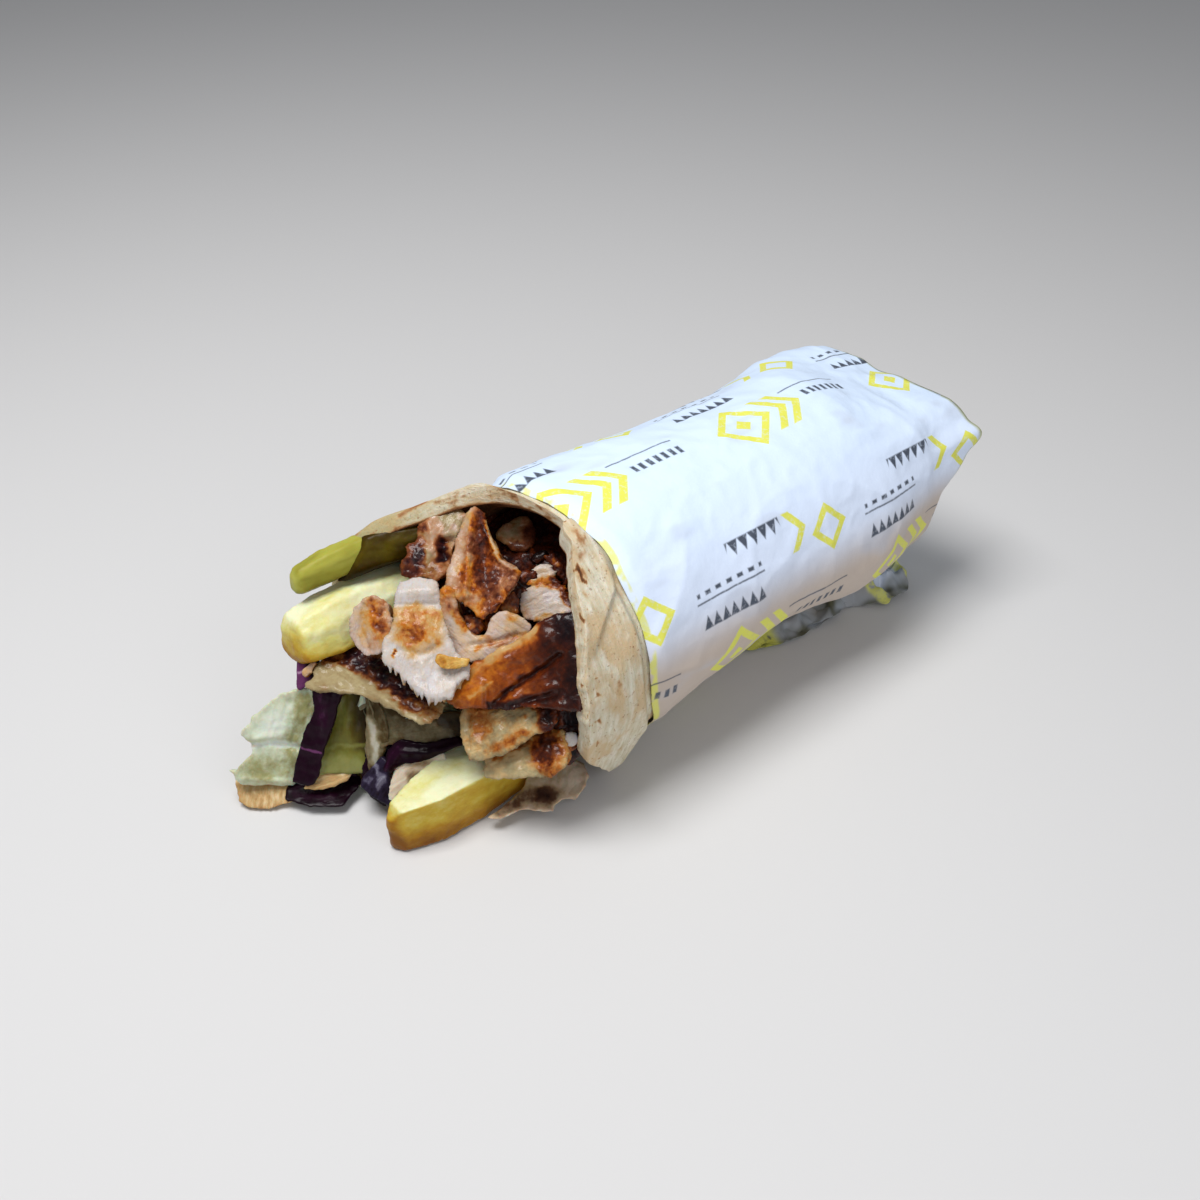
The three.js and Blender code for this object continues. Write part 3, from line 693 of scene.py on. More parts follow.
# Where the bread is toasted: (turn in degrees, y, half length along the girth, half length along Y,
# how dark).
TOAST = [
    (66, -18.2, 2.6, 1.5, 0.55), (60, -20.0, 2.0, 1.3, 0.48), (54, -21.4, 1.8, 1.2, 0.5),
    (48, -22.8, 1.4, 1.1, 0.4), (71, -16.8, 1.0, 0.7, 0.3), (97, -13.4, 3.4, 0.7, 0.3),
    (10, -22, 3, 1.4, 0.4), (-8, -18, 2.4, 1.2, 0.34), (-2, -27.6, 2.6, 1.6, 0.3),
    (32, -25, 2.0, 1.2, 0.3), (22, -17, 2.0, 0.8, 0.3), (-28, -19, 3, 1.2, 0.3),
    (200, -34, 6, 4, 0.5), (230, -22, 6, 3, 0.5),
]


# Where the flap's upper layer ends, as a y for each turn.
LAP = [
    (25.5, -26.3), (33.2, -22.9), (39.1, -19.1), (45.4, -15.4), (51, -13.4), (57, -12.6),
    (64.3, -13.2), (71.6, -14.6), (75.6, -17.4), (79, -20),
]


def flatbread():
    n = 420
    angle = full_turn(n)
    edge = PAPER_EDGE(angle) - 0.6
    turned = np.stack([angle, 0 * angle, 0 * angle], -1)
    rim = BREAD_RIM(angle) + 0.5 * noise(turned, 7, 11) + 0.25 * noise(turned, 2.6, 12)
    held = 1.6
    thick = 3.4 + 0.8 * bell(angle, -10, 70) - 0.9 * bell(angle, 88, 24)
    thick = thick + 1.0 * bell(angle, 128, 26)
    lapped = np.interp(angle, *zip(*LAP))
    strip = rise(angle, 24, 34) * (1 - rise(angle, 73, 75.5))

    def free_row(share, depth):
        y = edge + (rim - edge) * share
        released = held * (1 - rise(edge - y, 0.2, 2.4))
        lap = (1.1 + 0.7 * rise(angle, 45, 60)) * strip * (1 - rise(y - lapped, -0.9, 0.6))
        lap = lap * (1 - depth / 4)
        p = roll_point(angle, y, released + depth - breadth(angle, y) - lap)
        p[:, 2] = np.maximum(p[:, 2], 1.6 + depth)
        return p

    def held_row(y0, depth):
        return roll_point(angle, np.full(n, float(y0)), held + depth)

    outer = [held_row(y0, 0) for y0 in (75.5, 60, 40, 20, 5)]
    outer += [roll_point(angle, edge + 2.0, held), roll_point(angle, edge + 0.8, held)]
    outer += [free_row(s, 0) for s in np.linspace(0, 0.97, 90)]
    turns = np.linspace(0.15, math.pi - 0.15, 13)
    turn = [free_row(0.97 + 0.03 * math.sin(t), thick * 0.5 * (1 - math.cos(t))) for t in turns]
    inner = [free_row(s, thick) for s in np.linspace(0.97, 0, 50)]
    inner += [held_row(y0, thick) for y0 in (5, 20, 40, 60, 71.5)]
    rows = np.array(outer + turn + inner)
    side = [np.ones(len(outer)), np.linspace(1, -1, len(turn)), -np.ones(len(inner))]
    side = np.concatenate(side)[:, None]
    y = rows[..., 1]
    girth = np.broadcast_to(np.radians(angle) * GIRTH, y.shape)
    sheet = np.stack([y, girth, 0 * y + 4 * side], -1)
    free = rise(edge[None] - y, 0.0, 3.0)
    bubble = 0.55 * noise(rows, 12, 13) + 0.3 * noise(rows, 5, 14)
    bubble += 0.14 * noise(sheet * [1, 0.4, 1], 2.0, 15)
    bubble += 0.25 * (ridged(sheet * [1, 0.3, 1], 9, 16) - 0.4)
    rows = rows + outwards(angle) * (side * bubble * free)[..., None]
    rows[..., 2] = np.maximum(rows[..., 2], 0.3)
    toast = np.zeros(y.shape)
    warp = 1.1 * drift(sheet, 3.0, (17, 18)) + 0.7 * drift(sheet, 1.2, (21, 22))
    ragged = sheet[..., :2] + warp
    for at, mark_y, along, across, deep in TOAST:
        round_it = (ragged[..., 1] - math.radians(at) * GIRTH) / along
        away = np.hypot((ragged[..., 0] - mark_y) / across, round_it)
        toast = np.maximum(toast, deep * (1 - rise(away, 0.0, 1.8)))
    lip = rise(angle, 74, 84) * (1 - rise(angle, 196, 230))
    dots = rise(noise(sheet, 3.2, 24) + 0.5 * noise(sheet, 1.3, 25), -0.1, 0.8)
    low_edge = 1 - rise(y - rim[None], 0.2, 2.0)
    toast += lip * (0.08 + (0.1 + 0.42 * dots) * low_edge)
    flap = rise(angle, -50, -30) * (1 - rise(angle, 73, 76))
    freckles = rise(noise(sheet, 1.9, 26) + 0.4 * noise(sheet, 0.9, 27), 0.28, 0.68)
    toast += flap * freckles * (0.2 + 0.45 * (1 - rise(y - rim[None], 1.0, 6.0)))
    # The bread's inner side is dark brown: sauce stain, and painted shade of the hollow.
    within = 0.8 + 0.16 * noise(sheet, 5.0, 19)
    toast = toast + (within - toast) * (1 - rise(side, -0.95, -0.4))
    sallow = lip * rise(angle, 118, 146) * (1 - 0.8 * rise(angle, 154, 186)) + 0 * y
    attributes = {"toast": toast.ravel(), "sallow": sallow.ravel(), "sheet": sheet.reshape(-1, 3)}
    caps = [list(range(n))[::-1], [len(rows) * n - n + i for i in range(n)]]
    return build("bread", rows, grid_faces(len(rows), n) + caps, attributes)


def bread_material():
    s = Shader("bread", Roughness=0.75, Specular_IOR_Level=0.3, IOR=1.4, **soft(0.12, 0.002))
    sheet = s.attribute("sheet", vector=True)
    streak = s.noise(1.3, 4.0, 0.65, stretch=(1, 0.2, 1), vector=sheet)
    cloud = s.noise(6.0, 4.0, 0.6, stretch=(1, 0.6, 1), vector=sheet)
    base = s.mix(s.span(streak, 0.26, 0.74), (194, 182, 150), (224, 219, 202))
    base = s.mix(s.times(s.span(cloud, 0.44, 0.64), 0.85), base, (198, 172, 132))
    base = s.mix(s.times(s.attribute("sallow"), 0.85), base, (152, 144, 94))
    toast = s.plus(s.attribute("toast"), s.times(s.minus(s.noise(1.6, 4.0, 0.65), 0.5), 0.5))
    toasted = s.ramp(toast, TOASTED)
    colour = s.mix(s.span(toast, 0.08, 0.6), base, toasted)
    specks = s.span(s.noise(1.0, 4.0, 0.7, stretch=(1, 0.85, 1), vector=sheet), 0.57, 0.68)
    crowded = s.span(s.noise(8.0, 2.0), 0.3, 0.6, 0.3, 0.85)
    colour = s.mix(s.times(specks, crowded), colour, (140, 98, 62))
    s.set("Base Color", colour)
    s.bump(streak, 0.2)
    s.bump(s.noise(0.8, 4.0), 0.2)
    return s.material


# ---------- pieces of the filling ----------
def to_path(xy, path):
    """Each point's distance to a path through (x, y) points."""
    nearest = np.full(len(xy), 1e9)
    for start, stop in zip(path, path[1:]):
        start, along = np.array(start, float), np.subtract(stop, start)
        share = np.clip((xy - start) @ along / max(along @ along, 1e-9), 0, 1)
        nearest = np.minimum(nearest, np.linalg.norm(xy - start - share[:, None] * along, axis=1))
    return nearest


def slab(name, outline, face, thick, voxel=0.4, smooth=4, taper=0.88):
    """A plate whose front has the given outline in the pile's frame. The face is its height there
    and its lean, in mm of height for each mm across."""
    front = np.array(outline, float)
    middle = front.mean(0)
    back = middle + (front - middle) * taper
    height, lean_x, lean_y = face
    tip = lambda xy, low: np.column_stack([xy, height + xy @ [lean_x, lean_y] - low])
    count = len(front)
    points = pile_to_roll(np.concatenate([tip(front, 0), tip(back, thick)]))
    sides = [(i, i + count, (i + 1) % count + count, (i + 1) % count) for i in range(count)]
    caps = [tuple(range(count)), tuple(range(2 * count - 1, count - 1, -1))]
    piece = build(name, points, sides + caps)
    return fine(piece, voxel, smooth)


def tones(q, base, marks, seed=0, ragged=0.9):
    """The tone of each point in the pile's frame. A mark reaches through the piece with a ragged
    edge: (x, y, half width, half height, turn, tone) is a spot, (path, width, tone) a line."""
    warped = q[:, :2] + ragged * drift(q, 3.0, (seed + 1, seed + 2))
    warped += 0.55 * ragged * drift(q, 1.1, (seed + 4, seed + 5))
    value = np.full(len(q), float(base))
    for mark in marks:
        if len(mark) == 3:
            path, width, tone = mark
            away = to_path(warped, path) / width
        else:
            x, y, half_w, half_h, turn, tone = mark
            c, s = cosine(turn), sine(turn)
            dx, dy = warped[:, 0] - x, warped[:, 1] - y
            away = np.hypot((dx * c + dy * s) / half_w, (dy * c - dx * s) / half_h)
        value += (tone - value) * (1 - rise(away, 0.35, 1.6))
    return value


def folds(q, out, lines):
    """Height added to the front by ridges and creases, each (path, width, height)."""
    height = np.zeros(len(q))
    for path, width, high in lines:
        height += high * np.exp(-((to_path(q[:, :2], path) / width) ** 2))
    return height * rise(out[:, 2], -0.1, 0.5)


def in_pile(piece, turn):
    """A piece's points in the pile's frame, their normals there, and the points turned so that
    the piece's grain, at the given angle, runs along Y."""
    points, normal = points_of(piece)
    q = roll_to_pile(points)
    c, s = cosine(turn), sine(turn)
    grain = np.stack([q[:, 0] * s - q[:, 1] * c, q[:, 0] * c + q[:, 1] * s, q[:, 2]], -1)
    return q, normal @ PILE.T, grain


def settled(piece, q, tone, grain):
    """Moves a piece's points to places in the pile's frame, kept above the floor, and gives them
    their tone and grain."""
    points = pile_to_roll(q)
    points[:, 2] = np.maximum(points[:, 2], 0.1 + 0.1 * noise(points, 2.0))
    move_to(piece, points)
    paint(piece.data, "tone", tone)
    paint(piece.data, "grain", grain)
    return piece


def food_material(name, stops, other, uneven, size, fibre, gloss, relief, **constants):
    """Wet food whose colour follows its tone, broken up by fibres, specks and blots. In places the
    colours are the other ones. Gloss is its roughness when pale and when dark."""
    s = Shader(name, IOR=1.4, Specular_IOR_Level=0.12, Coat_Roughness=0.14, **constants)
    grain = s.attribute("grain", vector=True)
    fibres = s.noise(0.8, 3.0, 0.6, stretch=(1, 0.14, 0.7), vector=grain)
    specks = s.noise(size, 4.0, 0.65)
    blots = s.noise(3.2 * size, 3.0, 0.6)
    tone = s.attribute("tone")
    change = s.times(s.minus(specks, 0.5), uneven)
    change = s.plus(change, s.times(s.minus(blots, 0.5), 0.9 * uneven))
    change = s.times(change, s.span(tone, 0.05, 0.45, 0.3, 1.0))
    change = s.plus(change, s.times(s.minus(fibres, 0.5), fibre))
    tone = s.plus(tone, change, clamp=True)
    colour = s.ramp(tone, stops)
    if other:
        colour = s.mix(s.span(s.noise(4.5, 3.0, 0.6), 0.42, 0.6), colour, s.ramp(tone, other))
    s.set("Base Color", colour)
    s.set("Roughness", s.span(tone, 0.1, 0.7, *gloss))
    s.bump(fibres, relief[0])
    s.bump(specks, relief[1])
    return s.material


def strewn(name, host, count, lengths, widths, thick, twist, tone, seed):
    """Strips of food lying on a piece, where it looks out of the mouth, joined in one mesh."""
    chance = np.random.default_rng(seed)
    points, normal = points_of(host)
    tree = tree_of(host, points)
    facing, deepest = -0.15, 4
    open_to = np.flatnonzero((normal @ MOUTH > facing) & (points[:, 1] < deepest))
    stations, around_it = 12, 10
    ring = np.radians(np.arange(around_it) * 360 / around_it)
    rows, faces, toned, grains = [], [], [], []
    for k in range(count):
        at = points[chance.choice(open_to)]
        way = chance.normal(size=3)
        length, width = chance.uniform(*lengths), chance.uniform(*widths)
        shade = tone + chance.uniform(-0.16, 0.16)
        lean = chance.uniform(-1, 1)
        for i in range(stations):
            place, up, _, _ = tree.find_nearest(Vector(at))
            up, place = np.array(up), np.array(place)
            way = way - (way @ up) * up
            way /= max(np.linalg.norm(way), 1e-6)
            across = np.cross(up, way)
            tilt = lean + twist * i
            flat = across * math.cos(tilt) + up * math.sin(tilt)
            high = up * math.cos(tilt) - across * math.sin(tilt)
            share = i / (stations - 1)
            full = (1 - abs(2 * share - 1) ** 4) ** 0.5 if 0 < i < stations - 1 else 0.12
            middle = place + up * (thick * 0.3 + 0.25 * width * abs(math.sin(tilt)))
            for angle in ring:
                out = 0.5 * width * math.cos(angle) * flat + 0.5 * thick * math.sin(angle) * high
                rows.append(middle + full * out)
                grains.append((width * math.cos(angle), share * length, k))
                toned.append(shade + 0.1 * math.cos(angle + k))
            at = place + way * length / (stations - 1)
            way = way + 0.25 * chance.normal(size=3)
        start = k * stations * around_it
        faces += grid_faces(stations, around_it, start=start)
        last = start + (stations - 1) * around_it
        faces.append(tuple(range(start, start + around_it))[::-1])
        faces.append(tuple(range(last, last + around_it)))
    rows = np.array(rows)
    rows += 0.3 * drift(rows, 2.2, range(seed, seed + 3))
    rows[:, 2] = np.maximum(rows[:, 2], 0.1)
    return build(name, rows, faces, {"tone": np.clip(toned, 0, 1), "grain": np.array(grains)})


# ---------- chicken ----------
def chicken(
    piece, base, marks, side=0.45, fibre=90, lumps=0.4, torn=0.2, crag=0.3, dome=0.8,
    lines=(), fringe=None, speckle=0.17, seed=0,
):
    """Shapes a slice of chicken: its fibres run at the given angle in the pile's frame, and where
    it is roasted its skin is craggy. Side is how roasted its sides are, lumps, torn, crag and dome
    are heights in mm, and a fringe is (direction, teeth) of torn fibre ends."""
    q, out, grain = in_pile(piece, fibre)
    roast = tones(q, base, marks, seed)
    front = rise(out[:, 2] + 0.25 * noise(q, 2.0, seed + 9), -0.1, 0.55)
    roast += (side - roast) * 0.75 * (1 - front)
    burnt = rise(roast, 0.3, 0.6)
    bumps = rough(q, 1.3, seed + 4, 2, 0.7)
    # Roasted granules are paler on top and darker in their pits: partly flecks, partly painted
    # light and shade.
    roast -= speckle * rise(roast, 0.2, 0.45) * bumps
    threads = noise(grain * [1, 0.13, 0.7], 0.95, seed)
    threads += 0.6 * noise(grain * [1, 0.2, 0.8], 0.5, seed + 1)
    d = lumps * noise(q, 6.0, seed + 2) + 0.6 * lumps * noise(q, 2.8, seed + 3)
    d += torn * (1 - 0.5 * burnt) * threads
    d += crag * burnt * (bumps - 0.3 * ridged(q, 1.8, seed + 5))
    d += dome * (1 - np.exp(-np.maximum(out[:, 2], 0) * 3)) * rise(noise(q, 9.0, seed + 6), -1, 1)
    q = q + out * d[:, None]
    wobble = 0.4 * drift(q, 2.4, (seed + 10, seed + 11))
    q[:, :2] += wobble + 0.22 * drift(q, 1.0, (seed + 14, seed + 15))
    q[:, 2] += folds(q, out, lines) + 0.7 * noise(q, 9.0, seed + 12)
    if fringe:
        turn, teeth = fringe
        way = np.array([cosine(turn), sine(turn), 0])
        facing = rise(out @ way, 0.2, 0.75)
        jag = np.maximum(0, noise(grain * [1, 0.05, 0.35], 0.6, seed + 8) + 0.1)
        q = q + way * (teeth * facing * jag)[:, None]
    return settled(piece, q, roast, grain)


def shades(*colours):
    """The colours of chicken from raw white to charred, with the tones they stand at."""
    return list(zip((0.0, 0.14, 0.28, 0.42, 0.56, 0.7, 0.86, 1.0), colours))


ROAST = shades(
    (196, 191, 188), (192, 168, 140), (188, 142, 80), (184, 108, 28), (136, 64, 16), (84, 32, 10),
    (42, 17, 11), (17, 9, 11),
)
ROAST_PINK = shades(
    (190, 186, 190), (188, 166, 152), (176, 136, 104), (160, 104, 66), (120, 66, 40), (80, 35, 22),
    (44, 19, 20), (20, 11, 16),
)
ROAST_WARM = shades(
    (194, 189, 190), (190, 168, 138), (188, 147, 86), (180, 116, 58), (136, 70, 30), (84, 34, 14),
    (42, 17, 13), (17, 9, 11),
)
GOLDEN = [
    (0.0, (226, 206, 150)), (0.3, (206, 164, 84)), (0.55, (178, 120, 40)), (0.8, (124, 66, 18)),
    (1.0, (60, 28, 12)),
]
ROAST_GOLD = shades(
    (208, 200, 168), (194, 170, 124), (182, 140, 84), (166, 100, 38), (124, 58, 18), (82, 33, 12),
    (44, 18, 15), (19, 9, 13),
)
THIGH = shades(
    (196, 190, 158), (166, 152, 114), (142, 122, 86), (138, 92, 46), (106, 54, 24), (70, 32, 20),
    (42, 18, 24), (18, 10, 18),
)

# Each slice of chicken: its outline in the pile's frame, its front's height and lean, how roasted
# it is, its marks, the way its fibres run, and its folds.
SLICES = {
    "chicken_front": dict(
        outline=[
            (-42.3, 3.8), (-38.7, 4.7), (-35.1, 3.8), (-34, 1.7), (-33.7, -1.3), (-33, -4.6),
            (-31.6, -8.4), (-30, -11.3), (-27.1, -13.9), (-27.6, -15.8), (-29.5, -17.4),
            (-31, -19.8), (-33.5, -20.3), (-36, -19.4), (-38.5, -18.2), (-40.6, -16.2),
            (-42.6, -14.3), (-44.5, -13.3), (-45.4, -10.8), (-45.3, -8.8), (-43.7, -7.1),
            (-42.8, -4.4), (-43.1, -1.5), (-42.8, 1.3),
        ],
        face=(27.0, -0.04, -0.27), thick=9, base=0.04, side=0.3, fibre=84, fringe=(-88, 2.6),
        torn=0.14, lumps=0.3, dome=1.4, crag=0.55,
        marks=[
            (-38.8, -6.9, 3.7, 3.2, 0, 0.5),
            ([(-41.8, -3.0), (-38.5, -2.5), (-34.8, -3.2)], 1.5, 0.36),
            ([(-34.8, -4), (-34.8, -7.6)], 1.1, 0.35), (-34.4, -7.6, 1.8, 2.6, 10, 0.26),
            (-33.6, -9.4, 0.8, 0.8, 0, 0.38), (-37.5, -10.6, 3.0, 1.0, 10, 0.22),
            (-43.0, -11.4, 0.3, 0.7, 10, 0.8),
        ],
        lines=[
            ([(-42.5, -1.1), (-34, -0.9)], 0.5, -0.4),
            ([(-42.3, -10.4), (-37, -11.4), (-33.4, -9.5)], 0.7, -0.4),
            ([(-42, 1.8), (-35, 1.9)], 1.6, 0.9), ([(-41, -5), (-36, -7)], 2.2, 0.5),
        ],
    ),
    "chicken_left": dict(
        outline=[
            (-49.2, 0.4), (-46.7, 0.6), (-44.8, -0.8), (-44, -3.4), (-44, -7.2), (-45, -9.7),
            (-46.5, -11.6), (-49.2, -12), (-51.3, -10.5), (-52.6, -8.2), (-52.6, -4.6),
            (-51.5, -1.7),
        ],
        face=(35.2, 0.12, 0), thick=7, base=0.14, side=0.3, fibre=75, dome=1.2, crag=0.5,
        marks=[
            (-46.6, -3.9, 2.3, 4.4, 8, 0.56), (-47.6, -0.6, 1.8, 0.9, 0, 0.5),
            (-48.0, -9.6, 1.6, 1.2, 0, 0.27), (-49.6, -5, 1.0, 3.4, 0, 0.28),
        ],
        lines=[([(-49.8, -1), (-50.2, -6), (-48.6, -10.6)], 0.5, -0.5)],
    ),
    "chicken_long": dict(
        outline=[
            (-64.2, -18.5), (-62.6, -16.5), (-61.1, -13.6), (-58.1, -11.9), (-53.8, -10.6),
            (-49.8, -10.6), (-46.2, -11.4), (-43.7, -14.7), (-40.3, -18), (-36.5, -20.6),
            (-33, -21.8), (-34, -24.4), (-35.2, -25.5), (-36.4, -26.1), (-38.3, -26),
            (-40.8, -24.8), (-43.5, -23.4), (-46.7, -22.1), (-49.9, -21.1), (-53, -20.1),
            (-56.6, -19.7), (-60.5, -19.5), (-63.2, -19.3),
        ],
        face=(13.6, 0.09, -0.77), thick=4.5, base=0.2, side=0.3, fibre=-28, crag=0.35,
        marks=[
            ([(-59.5, -13.0), (-55, -13.2), (-51, -14.4)], 1.5, 0.6),
            ([(-54, -12.6), (-49.5, -14.4), (-45.5, -17), (-41.5, -19.6), (-37, -21.6)], 2.3, 0.86),
            ([(-41.5, -22.0), (-38.0, -23.2)], 1.2, 0.62), (-36.6, -24.2, 2.6, 1.7, -30, 0.46),
            # The line along the lower edge is a little darker: painted shade.
            ([(-62.6, -18.8), (-57.8, -19.7), (-52, -20.4), (-44, -22.8)], 0.6, 0.26),
        ],
        lines=[([(-56, -16.9), (-49, -19.4), (-42.5, -23.2)], 0.7, 0.5)],
    ),
    "chicken_lower": dict(
        outline=[
            (-29.7, -23.7), (-27.7, -22.8), (-24.6, -22.4), (-21.2, -22.1), (-16.9, -21.7),
            (-9.5, -21.0), (-8.6, -25.0), (-9.8, -26.9), (-13.6, -28.2), (-16.7, -30.1),
            (-19.9, -32.1), (-23.1, -33.2), (-25.3, -33.9), (-27.5, -33.8), (-28.9, -30.6),
            (-29.6, -27.7),
        ],
        face=(29.4, 0.31, -0.22), thick=7, base=0.22, side=0.42, fibre=25, dome=1.0, speckle=0.1,
        marks=[
            (-25.4, -25.8, 2.6, 4.2, 0, 0.42), (-28.6, -28, 1.0, 5, 0, 0.2),
            ([(-28, -22.6), (-16, -22)], 0.9, 0.5), (-15.6, -24.4, 0.5, 0.5, 0, 0.5),
            ([(-11.6, -21.6), (-10.6, -26.4)], 2.2, 0.82), ([(-23, -32), (-15.4, -27.6)], 0.9, 0.4),
        ],
        lines=[([(-28, -24), (-27.6, -32.5)], 0.5, -0.45), ([(-22, -24), (-21.5, -31)], 1.2, 0.5)],
    ),
    "chicken_base": dict(
        outline=[
            (-24.4, -34.2), (-20.2, -32.6), (-17, -30.6), (-13.6, -28.5), (-11, -27.2),
            (-7.4, -27.6), (-6.6, -31.6), (-7.0, -34.4), (-9.4, -36.1), (-10.7, -37.1),
            (-15.8, -37.5), (-20.1, -37.7), (-23.8, -38.1), (-25.1, -37.7), (-24.8, -35.9),
        ],
        face=(21.9, 0.32, -0.31), thick=6, base=0.15, side=0.35, fibre=30,
        marks=[
            (-11.3, -31.4, 3.6, 4.0, -10, 0.74), (-10.2, -35.8, 2.0, 1.4, 0, 0.52),
            ([(-22, -33.6), (-14, -29.4)], 0.9, 0.42),
        ],
    ),
    "chicken_glazed": dict(
        outline=[
            (-31.5, -17.2), (-28.9, -15.1), (-26.4, -13.4), (-23.8, -11.9), (-20.8, -9.6),
            (-18.3, -9.1), (-16.6, -8.3), (-13, -4.5), (-9.9, -3.5), (-8, -2.5), (-5.1, -2.7),
            (-3.9, -6.5), (-3.5, -12.2), (-3.3, -18.3), (-3.7, -22.2), (-8.2, -21.9),
            (-16.5, -22.1), (-23.7, -22.3), (-27.6, -22.1), (-28.4, -23.2), (-30.4, -22.8),
            (-31.9, -21), (-31.9, -18.9),
        ],
        face=(37.4, 0.29, -0.08), thick=10, base=0.57, side=0.72, fibre=32, lumps=0.6, crag=0.1,
        dome=0.8, speckle=0.05,
        marks=[
            ([(-29.4, -19.2), (-25.6, -17.4), (-22, -15)], 3.4, 0.5),
            (-19.6, -16.8, 2.6, 2.0, 30, 0.62),
            ([(-29.6, -17), (-25, -14), (-20.6, -11.4)], 0.7, 0.38),
            ([(-26.6, -20.4), (-22.6, -16.8)], 0.4, 0.32),
            ([(-17, -14.2), (-13, -12.5)], 3.2, 0.58), ([(-8.6, -7), (-7.8, -20)], 4.6, 0.82),
            (-6.4, -5.2, 3.0, 3.4, 0, 0.97), (-4.8, -16, 1.8, 7.0, 0, 0.92),
            (-12.6, -17.0, 2.4, 2.4, 15, 0.66), (-29.6, -19.6, 1.4, 1.4, 0, 0.5),
            ([(-23.7, -12.1), (-20.8, -10), (-17.7, -9.1), (-13.7, -5.4)], 1.0, 0.24),
            (-14.9, -7.2, 2.4, 1.4, 42, 0.26),
            # These two near-black lines lie in the two creases below: partly sauce, partly painted
            # shade.
            ([(-22.9, -21.8), (-19.1, -19.1), (-15.8, -16.6), (-11.4, -14.1)], 0.6, 0.85),
            ([(-21.8, -22.2), (-14.5, -21.2), (-8.2, -19.2)], 0.9, 0.88),
        ],
        lines=[
            (
                [(-22.4, -22), (-19.1, -19.1), (-15.8, -16.6), (-11.4, -14.1), (-8.3, -11.4)], 0.7,
                -1.3,
            ),
            ([(-19, -22), (-14.5, -20.8), (-9.3, -19.3)], 0.7, -1.0),
            ([(-23.7, -18), (-23.6, -22)], 0.6, -0.9),
            ([(-21, -12.9), (-15, -11), (-11, -7.8)], 1.5, 0.8),
            ([(-28, -19.5), (-22, -16)], 2.2, 0.7),
        ],
    ),
    "chicken_peak": dict(
        outline=[
            (-27.0, 20), (-28.5, 18.4), (-30.2, 14), (-31.2, 10.8), (-32.2, 6.9), (-32.6, 3.1),
            (-31.6, 1.1), (-29.0, -0.6), (-26.4, -2.8), (-24.6, -4.2), (-23.5, -2.9), (-22.1, -2.4),
            (-19.6, 0.4), (-18.0, 2.8), (-16.8, 5.8), (-18.2, 7.2), (-20.6, 8.6), (-21.9, 10.6),
            (-23.6, 14.2), (-25.2, 18.6),
        ],
        face=(28.6, 0.01, -0.28), thick=8, base=0.57, side=0.4, fibre=72, lumps=0.4, dome=0.8,
        speckle=0.15,
        marks=[
            ([(-26.3, 19), (-25.0, 14.8), (-23.8, 9.6)], 1.7, 0.74),
            ([(-24.8, 10), (-24.2, 5.4)], 2.6, 0.68), (-20.0, 3.6, 1.4, 3.4, 0, 0.4),
            ([(-29.8, 1.2), (-27.0, -0.6)], 1.9, 0.34), (-22.4, -1.6, 1.6, 1.2, -20, 0.72),
            ([(-28.0, 18.6), (-29.8, 12.7), (-31.0, 7.4), (-31.6, 2.1)], 1.4, 0.22),
            ([(-27.6, 9), (-27.8, 4)], 0.8, 0.4),
            ([(-25.0, 16.6), (-21.2, 9), (-18.2, 6.4)], 0.45, 0.2),
            (-28.2, 1.0, 2.2, 1.4, -30, 0.34),
        ],
        lines=[
            ([(-27.3, 18), (-28.0, 12), (-28.2, 6), (-28.4, 1)], 1.0, 1.5),
            ([(-25.2, 16.3), (-21.6, 9), (-18.6, 6.2)], 0.7, 0.9),
            ([(-24.6, 12), (-24.6, 6), (-23.4, 0)], 1.3, -0.9),
        ],
    ),
    "chicken_right": dict(
        outline=[
            (-16.2, -4.2), (-17.6, -1.6), (-16.9, 1.1), (-15.6, 2.6), (-15.4, 5.4), (-13.9, 7.4),
            (-11.7, 7.6), (-10.0, 6.3), (-9.6, 4.1), (-8.0, 2.4), (-6.6, 0.6), (-5.0, -1.9),
            (-6.7, -3.2), (-9.5, -3.6), (-11.8, -4.6), (-14, -4.8),
        ],
        face=(24.6, 0.2, -0.2), thick=7, base=0.08, side=0.4, fibre=20, voxel=0.36, dome=0.8,
        fringe=(20, 1.6),
        marks=[
            ([(-15.6, 3.4), (-12.6, 3.9), (-10.4, 3.4)], 1.0, 0.46),
            ([(-9.4, 4.2), (-7.2, 1.0), (-5.4, -1.2)], 1.0, 0.74), (-16.4, -2.8, 1.4, 1.2, 0, 0.22),
            (-12.4, 6.2, 1.2, 0.8, 0, 0.16), ([(-15, -4.4), (-8, -3.6)], 0.7, 0.3),
        ],
        lines=[([(-15.8, 2.8), (-10.6, 3.4)], 0.5, -0.5)],
    ),
    "chicken_char": dict(
        outline=[
            (-30.5, 19.8), (-32.7, 19.6), (-34.9, 18.5), (-36.5, 19.2), (-37.7, 17.2),
            (-39.7, 16.3), (-40, 13), (-41.5, 11.9), (-42, 8.7), (-43.7, 7.4), (-42.9, 5.4),
            (-41.1, 4.3), (-38.5, 5), (-35.7, 4.1), (-33.7, 4.7), (-32.5, 6.5), (-32.2, 9.5),
            (-31.2, 13.4), (-28.7, 18.7),
        ],
        face=(28.0, 0.1, -0.3), thick=7, base=0.46, side=0.62, fibre=60, crag=0.35,
        marks=[
            (-32.0, 15.6, 4.4, 4.2, 20, 0.2), ([(-35.4, 17), (-36.6, 12), (-37.2, 9)], 1.3, 0.24),
            (-40.1, 8.8, 2.0, 3.4, 0, 0.84), (-38.5, 15.6, 1.3, 1.2, 0, 0.7),
            # The dark line from (-34.6, 12.6) to (-33.8, 9.4) lies in the notch dented below:
            # painted shade.
